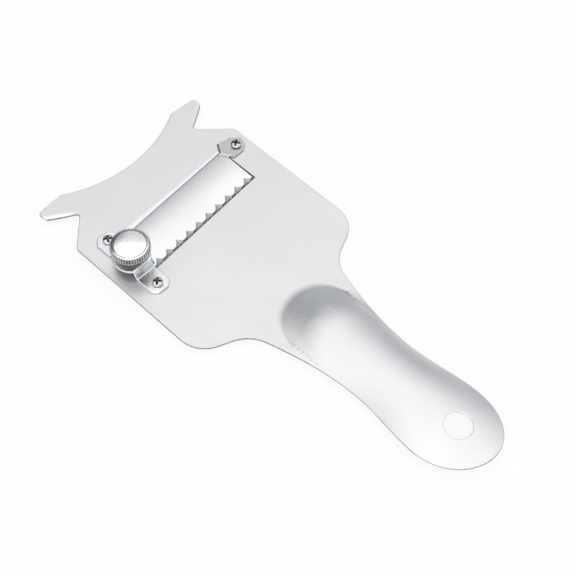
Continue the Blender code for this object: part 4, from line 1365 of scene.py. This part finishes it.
def makeBlade():
    look = bladeLook
    loops = [[Vector(point) for point in bladeOutline()]]
    loops += [holeLoop(knobCentre, look["studHole"], 32), holeLoop(earPlace, look["screwHole"], 32)]
    crests, rows, inset = [], look["mesh"]["crestRows"], look["crestInset"] * mm
    for row in range(rows + 1):
        y = mix(bladeRight - inset, bladeLeft + inset, row / rows)
        crests.append((bladeEdge(y) - grindReach(y), y))
    lines = [crests] + joggleLines()
    spots = clearOf(bladeSpots(), loops + lines, look["mesh"]["clear"] * mm)
    made = SheetBuilder(bladeUpper, bladeLower, look["probe"], lambda x, y: look["wallGrimeAndShade"])
    made.build(loops, lines, spots, look["rim"], look["rimSteps"])

    def markAt(rise, middle, width, sharpness):
        return smoothShare(width - abs(rise - middle) * sharpness)

    # The rise to the ear gets a painted highlight along its top, and painted shade along its foot.
    edge, recess = made.marks["edge"], made.marks["recess"]
    before, after = look["riseReach"]
    for number, point in enumerate(made.points):
        past = pastFoot(point.x, point.y) + look["joggleInset"]
        if point.x < slotStart and -look["joggle"] - before < past < after:
            rise = past / look["joggle"] + 1
            edge[number] = max(markAt(rise, *look["riseHighlight"]), edge[number])
            recess[number] = look["riseShadeMost"] * markAt(rise, *look["riseShade"])
    steels = [
        makeSteel("polishedBladeSteel", look["steel"]),
        makeSteel("mattEarSteel", look["earSteel"]),
        makeSteel("groundEdgeSteel", look["grindSteel"]),
    ]
    return addSheet("slicingBlade", made, steels, "blade", "blade", bladeFinish)


makeBody()
print("sheet body made")
makeBlade()
print("blade made")


# Bridge over the tongue

bridgeLook = {
    "sheet": 1.1,
    "rim": 0.38 * mm,
    "rimSteps": 5,
    "topHalf": 6.1,
    "bendRun": 0.8,
    "headroom": 3.6,
    "bendRadius": 1.1,
    "halfLength": 18.0,
    "halfWidth": 4.6,
    "corner": 2.1,
    "lobe": 7.5,
    # darkening of the sheared walls: grime and painted shade
    "wallGrimeAndShade": 0.25,
    # Painted shadow on top, under the knob: it reaches this far out, and lies only above this height
    "shaded": {"most": 0.55, "reach": 7.1, "fade": 1.2, "above": 6.9, "rise": 0.5},
    "dressWidth": (1.3, 3.0),
    "probe": 0.04 * mm,
    "screwOffset": 14.25,
    "studHole": 2.05,
    "screwHole": 1.45,
    "mesh": {
        "outline": 0.5, "runs": 150, "lines": 26, "halfWidth": 7.4, "clear": 0.2, "lobeSteps": 36, "straight": 0.6,
    },
    "steel": steelLook(
        colour=(0.83, 0.834, 0.845), streakColour=(0.78, 0.784, 0.795), smudgeColour=(0.72, 0.723, 0.73),
        roughness=0.22, fineness=1.2, turn=(0, 0, 0.8), smudgeSize=260.0, smudges=0.6, bump=0.4, edgeRub=0.9,
        edgeColour=(0.97, 0.97, 0.98), grime=0.9, grimeColour=(0.16, 0.16, 0.165), dress=0.45, dressTurn=(0, 0, 0.75),
        dressColour=(0.48, 0.483, 0.49),
    ),
}


def bridgePath():
    # The strap's middle line seen from the side, as (along, up) from the middle of its foot level.
    look = bridgeLook
    slope = math.hypot(look["bendRun"], look["headroom"])
    shift = look["sheet"] * (slope - look["bendRun"]) / look["headroom"]
    foot, top = look["sheet"] / 2, look["headroom"] + look["sheet"] / 2
    low = look["topHalf"] + look["bendRun"] + shift / 2
    high = look["topHalf"] - shift / 2
    chain = [
        (-look["halfLength"], foot, 0), (-low, foot, look["bendRadius"]), (-high, top, look["bendRadius"]),
        (high, top, look["bendRadius"]), (low, foot, look["bendRadius"]), (look["halfLength"], foot, 0),
    ]
    return [Vector(point) for point in arcChain(chain, 4.0)]


strapPath = bridgePath()
strapRuns = [0.0]
for before, after in zip(strapPath, strapPath[1:]):
    strapRuns.append(strapRuns[-1] + (after - before).length)
strapMiddle = strapRuns[-1] / 2


def strapAt(run):
    # Where the middle line is after this run from the strap's middle, and its direction there.
    run = min(max(run + strapMiddle, 0), strapRuns[-1])
    i = max(j for j in range(len(strapRuns) - 1) if strapRuns[j] <= run)
    share = (run - strapRuns[i]) / (strapRuns[i + 1] - strapRuns[i])
    direction = (strapPath[i + 1] - strapPath[i]).normalized()
    return strapPath[i].lerp(strapPath[i + 1], share), direction


def runOf(offset):
    # The run at which the middle line has gone this far along X.
    for i in range(len(strapPath) - 1):
        if strapPath[i].x <= offset <= strapPath[i + 1].x:
            share = (offset - strapPath[i].x) / (strapPath[i + 1].x - strapPath[i].x)
            return mix(strapRuns[i], strapRuns[i + 1], share) - strapMiddle
    return offset


def bridgeFace(run, y, side):
    at, direction = strapAt(run / mm)
    away = Vector((-direction.y, direction.x)) * side * bridgeLook["sheet"] / 2
    return Vector((knobCentre.x + (at.x + away.x) * mm, y, bridgeBottom + (at.y + away.y) * mm))


def bridgeUpper(run, y):
    return bridgeFace(run, y, 1)


def bridgeLower(run, y):
    return bridgeFace(run, y, -1)


def bridgeOutline():
    look = bridgeLook
    side, corner, lobe = look["halfWidth"], look["corner"], look["lobe"]
    meet = math.sqrt(lobe**2 - side**2)
    reach = runOf(look["halfLength"])
    bend, before, steps = corner / 2, meet - look["mesh"]["straight"], look["mesh"]["lobeSteps"]
    end = arcChain(
        [
            (before, -side, 0), (meet, -side, 0), (reach - corner, -side, bend), (reach, corner - side, bend),
            (reach, side - corner, bend), (reach - corner, side, bend), (meet, side, 0), (before, side, 0),
        ]
    )[1:-1]
    start = math.asin(side / lobe)
    turns = [mix(start, math.pi - start, k / steps) for k in range(1, steps)]
    half = end + [(lobe * math.cos(turn), lobe * math.sin(turn)) for turn in turns]
    loop = half + [(-x, -y) for x, y in half]
    return [Vector((x * mm, knobCentre.y + y * mm)) for x, y in loop]


def makeBridge():
    look, mesh, shade = bridgeLook, bridgeLook["mesh"], bridgeLook["shaded"]
    loops = [divided(bridgeOutline(), mesh["outline"] * mm), holeLoop((0, knobCentre.y), look["studHole"], 40)]
    for side in (1, -1):
        middle = (side * runOf(look["screwOffset"]) * mm, knobCentre.y)
        loops.append(holeLoop(middle, look["screwHole"], 32))
    spots = []
    for run in np.linspace(-strapMiddle, strapMiddle, mesh["runs"]):
        for y in np.linspace(-mesh["halfWidth"], mesh["halfWidth"], mesh["lines"]):
            spots.append((run * mm, knobCentre.y + y * mm))
    spots = clearOf(spots, loops, mesh["clear"] * mm)
    # The bent strap is laid out flat for its mesh, so a run along it stands for x.
    made = SheetBuilder(bridgeUpper, bridgeLower, look["probe"], lambda x, y: look["wallGrimeAndShade"])
    made.build(loops, [], spots, look["rim"], look["rimSteps"])
    bend = (look["topHalf"] + look["bendRun"] + look["sheet"]) * mm
    width, fade = look["dressWidth"]
    made.marks["dressed"] = [
        smoothShare(width - abs(abs(point.x - knobCentre.x) - bend) / (fade * mm)) for point in made.points
    ]
    # Painted shadow of the knob on the strap's top, kept in the recess mark.
    for number, point in enumerate(made.points):
        away = (Vector((point.x, point.y)) - knobCentre).length / mm
        shaded = shade["most"] * smoothShare((shade["reach"] - away) / shade["fade"])
        shaded *= smoothShare((point.z / mm - shade["above"]) / shade["rise"])
        made.marks["recess"][number] = max(made.marks["recess"][number], shaded)
    steel = makeSteel("bentStrapSteel", look["steel"])
    return addSheet("knobBridge", made, [steel], "knob_bridge", "root")


makeBridge()
print("bridge made")


# Thumb knob

knobLook = {
    "ribs": 46,
    "ribDepth": 0.42,
    # Across one rib: share of its pitch, share of the depth
    "ribShape": (
        (0, 0), (0.07, 0), (0.15, 0.2), (0.24, 0.85), (0.32, 1), (0.68, 1), (0.76, 0.85), (0.85, 0.2), (0.93, 0),
    ),
    "crown": (6.5, 0.66),            # radius of the domed middle, and how much lower its rim is
    "groove": (6.68, 0.95),          # outer radius and depth of the ring cut round it
    "taper": (0.64, 1.08),           # how far below the top the sloping shoulder starts and ends
    # painted shade on the ribs' crests, and on the knob's underside below
    "sideShade": 0.5,
    "underShade": 0.2,
    "socket": 2.1,
    "socketDepth": 2.8,
    "domeGap": 0.02,                 # how far the dome stays below the knob's top
    "plating": steelLook(
        colour=(0.93, 0.932, 0.94), streakColour=(0.91, 0.91, 0.92), smudgeColour=(0.72, 0.723, 0.732),
        edgeColour=(0.96, 0.96, 0.97), roughness=0.07, fineness=0.7, streaks=0.1, smudges=0.5, smudgeSize=1000.0,
        scratches=0.2, smudgeGloss=0.1, streakGloss=0.02, grainDepth=0.1, bump=0.42, grimeColour=(0.05, 0.05, 0.052),
        peel=1.0, peelSize=1100.0,
    ),
}


def knobRows(radius, low, high):
    # (radius, height, how much of the ribs shows, how much grime and painted shade lies there)
    (crown, drop), (outer, depth), (start, foot) = knobLook["crown"], knobLook["groove"], knobLook["taper"]
    socket, under, gap = knobLook["socket"], knobLook["underShade"], knobLook["domeGap"]
    rows = [
        (socket, low + knobLook["socketDepth"], 0, 0.5), (socket, low + 0.15, 0, 0.3),
        (socket + 0.15, low, 0, under), (radius - 0.62, low, 0, under),
        (radius - 0.4, low + 0.06, 0.1, 0.5), (radius - 0.2, low + 0.2, 0.5, 0.3), (radius - 0.06, low + 0.36, 0.85, 0),
        (radius, low + 0.55, 1, 0),
        (radius, high - foot - 0.3, 1, 0), (radius - 0.03, high - foot - 0.14, 1, 0),
    ]
    for share in (0, 0.25, 0.5, 0.75, 1):
        reach = mix(radius - 0.1, outer + 0.05, share)
        rows.append((reach, high - mix(foot, start, share), (1 - share) ** 2.2, 0))
    rows += [
        (outer, high - start - 0.05, 0, 0.6), (outer - 0.02, high - depth, 0, 1), (crown + 0.02, high - depth, 0, 1),
        (crown, high - drop - 0.12, 0, 0.6), (crown - 0.07, high - drop - 0.03, 0, 0),
    ]
    for share in (0.96, 0.9, 0.8, 0.7, 0.6, 0.5, 0.4, 0.3, 0.2, 0.1):
        rows.append((crown * share, high - gap - (drop - gap) * share**2, 0, 0))
    return rows


def makeKnob():
    look = knobLook
    radius = (knobHigh.x - knobLow.x) / 2 / mm
    low, high = knobLow.z / mm, knobHigh.z / mm
    rings = [[(knobCentre.x, knobCentre.y, (low + look["socketDepth"]) * mm)]]
    edge, recess = [0.0], [0.5]
    for reach, height, ribs, grime in knobRows(radius, low, high):
        ring = []
        for rib in range(look["ribs"]):
            for share, groove in look["ribShape"]:
                turn = 2 * math.pi * (rib + share) / look["ribs"]
                at = (reach - look["ribDepth"] * groove * ribs) * mm
                ring.append(turnedPoint(knobCentre, at, turn, height))
                edge.append(ribs * (1 - groove))
                # Each row's darkening (grime and painted shade), and painted shade on the ribs that deepens into their
                # grooves.
                recess.append(max(grime, ribs * mix(look["sideShade"], 1, groove)))
        rings.append(ring)
    rings.append([(knobCentre.x, knobCentre.y, (high - look["domeGap"]) * mm)])
    edge.append(0.0)
    recess.append(0.0)
    points, faces, _ = stackRings(rings)
    marks = {"edge": edge, "recess": recess}
    plating = makeSteel("knobPlating", look["plating"])
    return addPiece("thumbKnob", points, faces, [plating], "thumb_knob", "knob", marks)


makeKnob()
print("knob made")


# Stud, washer, screws and nuts

threadLook = {
    "stud": {"pitch": 0.7, "depth": 0.32, "steps": 48, "rowsPerPitch": 10, "fades": (0.3, 0.3)},
    "screw": {"pitch": 0.45, "depth": 0.2, "steps": 40, "rowsPerPitch": 8, "fades": (0.25, 0.2)},
    "flank": 1.35,                   # steepness of the groove's sides
    "crest": 0.12,                   # share of the depth that is cut off to leave a flat crest
}
studLook = {
    "radius": 2.0,
    "running": 0.1,                  # from the tongue up to the stud's shoulder
    # Radius and height: of the peened end above the stud's bottom, and of the shoulder above its own place
    "peen": ((0, 0), (1.62, 0), (1.84, 0.1), (1.9, 0.25), (1.9, 0.46), (1.84, 0.5), (1.3, 0.5)),
    "shoulder": ((1.3, -0.02), (1.5, 0), (1.68, 0)),
    "steel": steelLook(
        colour=(0.62, 0.622, 0.635), streakColour=(0.52, 0.52, 0.53), smudgeColour=(0.5, 0.5, 0.51), roughness=0.30,
        smudgeSize=300.0, smudges=0.6, bump=0.4, grimeColour=(0.06, 0.06, 0.062),
    ),
}


def threadDip(height, turn, pitch):
    # How deep in its groove a point of the thread is, from 0 on the crest to 1 at the root.
    share = (height / pitch - turn / (2 * math.pi)) % 1
    return min(max(abs(share - 0.5) * 2 * threadLook["flank"] - threadLook["crest"], 0), 1)


def threadedRings(centre, radius, low, high, thread):
    # The thread fades out over a short run at either end.
    rings, depth, (fadeLow, fadeHigh) = [], thread["depth"], thread["fades"]
    rows = max(2, int((high - low) / thread["pitch"] * thread["rowsPerPitch"]))
    for row in range(rows + 1):
        height = mix(low, high, row / rows)
        shrink = max(0.0, depth * (1 - (height - low) / fadeLow), depth * (1 - (high - height) / fadeHigh))
        ring = []
        for step in range(thread["steps"]):
            turn = 2 * math.pi * step / thread["steps"]
            dip = depth * threadDip(height, turn, thread["pitch"])
            at = (radius - max(dip, shrink)) * mm
            ring.append(turnedPoint(centre, at, turn, height))
        rings.append(ring)
    return rings


def threadRootDarkening(points, centre, radius, depth):
    # Darker at the root of a thread: the mark follows how far a point lies inside the crest.
    away = [math.hypot(x - centre[0], y - centre[1]) / mm for x, y, _ in points]
    return [min(max((radius - at) / depth, 0), 1) ** 2 for at in away]


def makeStud():
    look, thread = studLook, threadLook["stud"]
    low, high = studLow.z / mm, studHigh.z / mm
    rod = tongueTop / mm + look["running"]
    neck = [(radius, low + up) for radius, up in look["peen"]] + [(radius, rod + up) for radius, up in look["shoulder"]]
    rings = turnedRings([(radius * mm, height * mm) for radius, height in neck], thread["steps"], knobCentre)
    rings += threadedRings(knobCentre, look["radius"], rod + 0.02, high, thread)
    rings.append([(knobCentre.x, knobCentre.y, high * mm)])
    points, faces, _ = stackRings(rings)
    steel = makeSteel("threadedStudSteel", look["steel"])
    recess = threadRootDarkening(points, knobCentre, look["radius"], thread["depth"])
    return addPiece("knobStud", points, faces, [steel], "knob_stud", "knob", {"recess": recess})


washerLook = {
    "bore": 1.4,
    "round": 0.12,
    "steps": 56,
    "steel": steelLook(colour=(0.68, 0.682, 0.69), streakColour=(0.62, 0.62, 0.63), roughness=0.32, smudgeSize=300.0),
}


def makeWasher():
    radius = (washerHigh.x - washerLow.x) / 2 / mm
    low, high, soft, bore = washerLow.z / mm, washerHigh.z / mm, washerLook["round"], washerLook["bore"]
    middle = (low + high) / 2
    profile = [
        (bore, middle, 0), (bore, low, soft / 2), (radius, low, soft),
        (radius, high, soft), (bore, high, soft / 2), (bore, middle, 0),
    ]
    chain = arcChain(profile, 22.5)[:-1]
    rings = turnedRings([(at * mm, height * mm) for at, height in chain], washerLook["steps"], knobCentre)
    points, faces, _ = stackRings(rings, closed=True)
    steel = makeSteel("washerSteel", washerLook["steel"])
    return addPiece("swivelWasher", points, faces, [steel], "swivel_washer", "stud_carriage", {})


makeStud()
makeWasher()

screwLook = {
    "shank": 1.25,
    "head": 2.15,
    "height": 1.5,
    "recessSpan": 1.78,
    "recessHalfWidth": 0.42,
    "recessWall": 0.1,
    "recessDepth": 1.1,
    "armTaper": 0.25,                # share of its width that an arm loses towards its end
    "armEnd": 0.25,
    "armRise": 0.55,                 # share of the depth that is lost there
    "dome": (0.5, 2.6),              # share of the head's height that is domed, and how square the dome is
    "headFoot": ((-0.1, 0), (-0.02, 0.06), (0, 0.16)),  # beyond the head's radius, above its seat
    "headRings": (1, 0.995, 0.985, 0.97, 0.95, 0.925, 0.895),
    "neck": 0.1,                     # between the thread and the head, and from the shank to the head's painted shade
    "recessShadeFrom": 0.08,               # depth from which the cross recess is fully dark with painted shade
    "footShade": 0.5,                # how far up the head the painted shade at its foot reaches
    "middle": 0.86,                  # share of the head's radius that the finely divided middle takes
    "grid": 0.075,
    "turns": {"blade_screw": 0.95, "bridge_screw_front": 0.62, "bridge_screw_rear": 0.86},
    "steel": steelLook(
        colour=(0.72, 0.722, 0.735), streakColour=(0.66, 0.662, 0.67), smudgeColour=(0.6, 0.6, 0.61), roughness=0.2,
        smudgeSize=500.0, smudges=0.5, scratches=0.5, bump=0.4, grimeColour=(0.018, 0.018, 0.019),
    ),
}
screwNames = {
    "blade_screw": "bladeScrew",
    "bridge_screw_front": "bridgeScrewFront",
    "bridge_screw_rear": "bridgeScrewRear",
}


def recessAt(x, y):
    # Depth of the cross recess: two arms that get shallower towards their ends.
    look, span = screwLook, screwLook["recessSpan"]
    deepest = 0.0
    for lengthwise, across in ((abs(x), abs(y)), (abs(y), abs(x))):
        half = look["recessHalfWidth"] * (1 - look["armTaper"] * lengthwise / span)
        wall = min(max((half + look["recessWall"] - across) / look["recessWall"], 0), 1)
        end = min(max((span - lengthwise) / look["armEnd"], 0), 1)
        slope = 1 - look["armRise"] * min(lengthwise / span, 1)
        deepest = max(deepest, wall * end * slope)
    return look["recessDepth"] * deepest


def domeAt(away, seat):
    domed, power = screwLook["dome"]
    share = min(away / screwLook["head"], 1)
    return seat + screwLook["height"] * (1 - domed + domed * math.sqrt(max(1 - share**power, 0)))


def makeScrew(node, steel):
    look, thread = screwLook, threadLook["screw"]
    centre, shank, radius = screwPlaces[node], look["shank"], look["head"]
    tip, top = (corner.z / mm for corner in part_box(node))
    seat = top - look["height"]
    spin = look["turns"][node]
    rings = [[(centre.x, centre.y, tip * mm)]]
    rings += threadedRings(centre, shank, tip, seat - look["neck"], thread)
    head = [(shank, seat)] + [(radius + out, seat + up) for out, up in look["headFoot"]]
    for share in (*look["headRings"], look["middle"]):
        head.append((radius * share, domeAt(radius * share, seat)))
    rings += turnedRings([(at * mm, height * mm) for at, height in head], thread["steps"], centre)
    points, faces, marks = stackRings(rings)
    # The middle of the head is a fine grid that follows the cross, so that the recess has crisp walls.
    rim = [Vector((points[i][0] - centre.x, points[i][1] - centre.y)) / mm for i in marks[-1]]
    reach = radius * look["middle"] - look["grid"]
    spots = []
    steps = int(reach / look["grid"]) + 1
    for i in range(-steps, steps + 1):
        for j in range(-steps, steps + 1):
            spot = Vector((i, j)) * look["grid"]
            if spot.length < reach:
                spots.append(spot @ Matrix.Rotation(spin, 2))
    flat = rim + spots
    edges = [(i, (i + 1) % len(rim)) for i in range(len(rim))]
    placed, _, patch, sources, _, _ = delaunay_2d_cdt(flat, edges, [], 1, 1e-6)
    recess = threadRootDarkening(points, centre, shank, thread["depth"])
    # Painted shade round the foot of the head.
    for number, (x, y, z) in enumerate(points):
        if math.hypot(x - centre.x, y - centre.y) > (shank + look["neck"]) * mm:
            recess[number] = min(max(1 - (z / mm - seat) / look["footShade"], 0), 1)
    names = {}
    for number, at in enumerate(placed):
        ring = [source for source in sources[number] if source < len(rim)]
        if ring:
            names[number] = marks[-1][ring[0]]
            continue
        cut = recessAt(*(at @ Matrix.Rotation(-spin, 2)))
        names[number] = len(points)
        points.append((centre.x + at.x * mm, centre.y + at.y * mm, (domeAt(at.length, seat) - cut) * mm))
        # Painted shade in the cross recess.
        recess.append(min(cut / look["recessShadeFrom"], 1))
    faces += [[names[i] for i in face] for face in patch]
    return addPiece(screwNames[node], points, faces, [steel], node, "root", {"recess": recess})


screwSteel = makeSteel("screwSteel", screwLook["steel"])
for screwNode in screwNames:
    makeScrew(screwNode, screwSteel)

nutLook = {
    "flats": 5.0,
    "chamfer": 0.36,
    "levels": (0, 0.06, 0.12, 0.18, 0.24, 0.3),
    "faceInset": 0.12,               # how far the round face stays inside the flats
    "boreGap": 0.02,
    "boreChamfer": 0.2,
    "turn": 22.5,
    "steps": 144,
    "steel": steelLook(
        colour=(0.70, 0.702, 0.71), streakColour=(0.64, 0.64, 0.65), smudgeColour=(0.6, 0.6, 0.61), roughness=0.28,
        smudgeSize=350.0, bump=0.4,
    ),
}
nutNames = {
    "blade_nut": ("bladeNut", "blade_screw"),
    "bridge_nut_front": ("bridgeNutFront", "bridge_screw_front"),
    "bridge_nut_rear": ("bridgeNutRear", "bridge_screw_rear"),
}


def makeNut(node, steel):
    look = nutLook
    name, screw = nutNames[node]
    centre = screwPlaces[screw]
    low, high = (corner.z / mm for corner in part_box(node))
    half, corner = look["flats"] / 2, look["flats"] / math.sqrt(3)
    steps, inset, soft = look["steps"], look["faceInset"], look["boreChamfer"]

    def hexagonRing(height, level):
        cone = half - inset + (corner - half + inset) * level / look["chamfer"]
        ring = []
        for step in range(steps):
            turn = 2 * math.pi * step / steps
            flat = (turn + math.pi / 6) % (math.pi / 3) - math.pi / 6
            at = min(half / math.cos(flat), cone) * mm
            ring.append(turnedPoint(centre, at, turn + math.radians(look["turn"]), height))
        return ring

    bore = screwLook["shank"] + look["boreGap"]
    levels = [*look["levels"], look["chamfer"]]
    rings = turnedRings([(bore * mm, (low + soft) * mm), ((bore + soft) * mm, low * mm)], steps, centre)
    rings += [hexagonRing(low + level, level) for level in levels]
    rings += [hexagonRing(high - level, level) for level in reversed(levels)]
    rings += turnedRings([((bore + soft) * mm, high * mm), (bore * mm, (high - soft) * mm)], steps, centre)
    points, faces, _ = stackRings(rings, closed=True)
    return addPiece(name, points, faces, [steel], node, "root", {})


nutSteel = makeSteel("nutSteel", nutLook["steel"])
for nutNode in nutNames:
    makeNut(nutNode, nutSteel)
print("stud, washer, screws and nuts made")
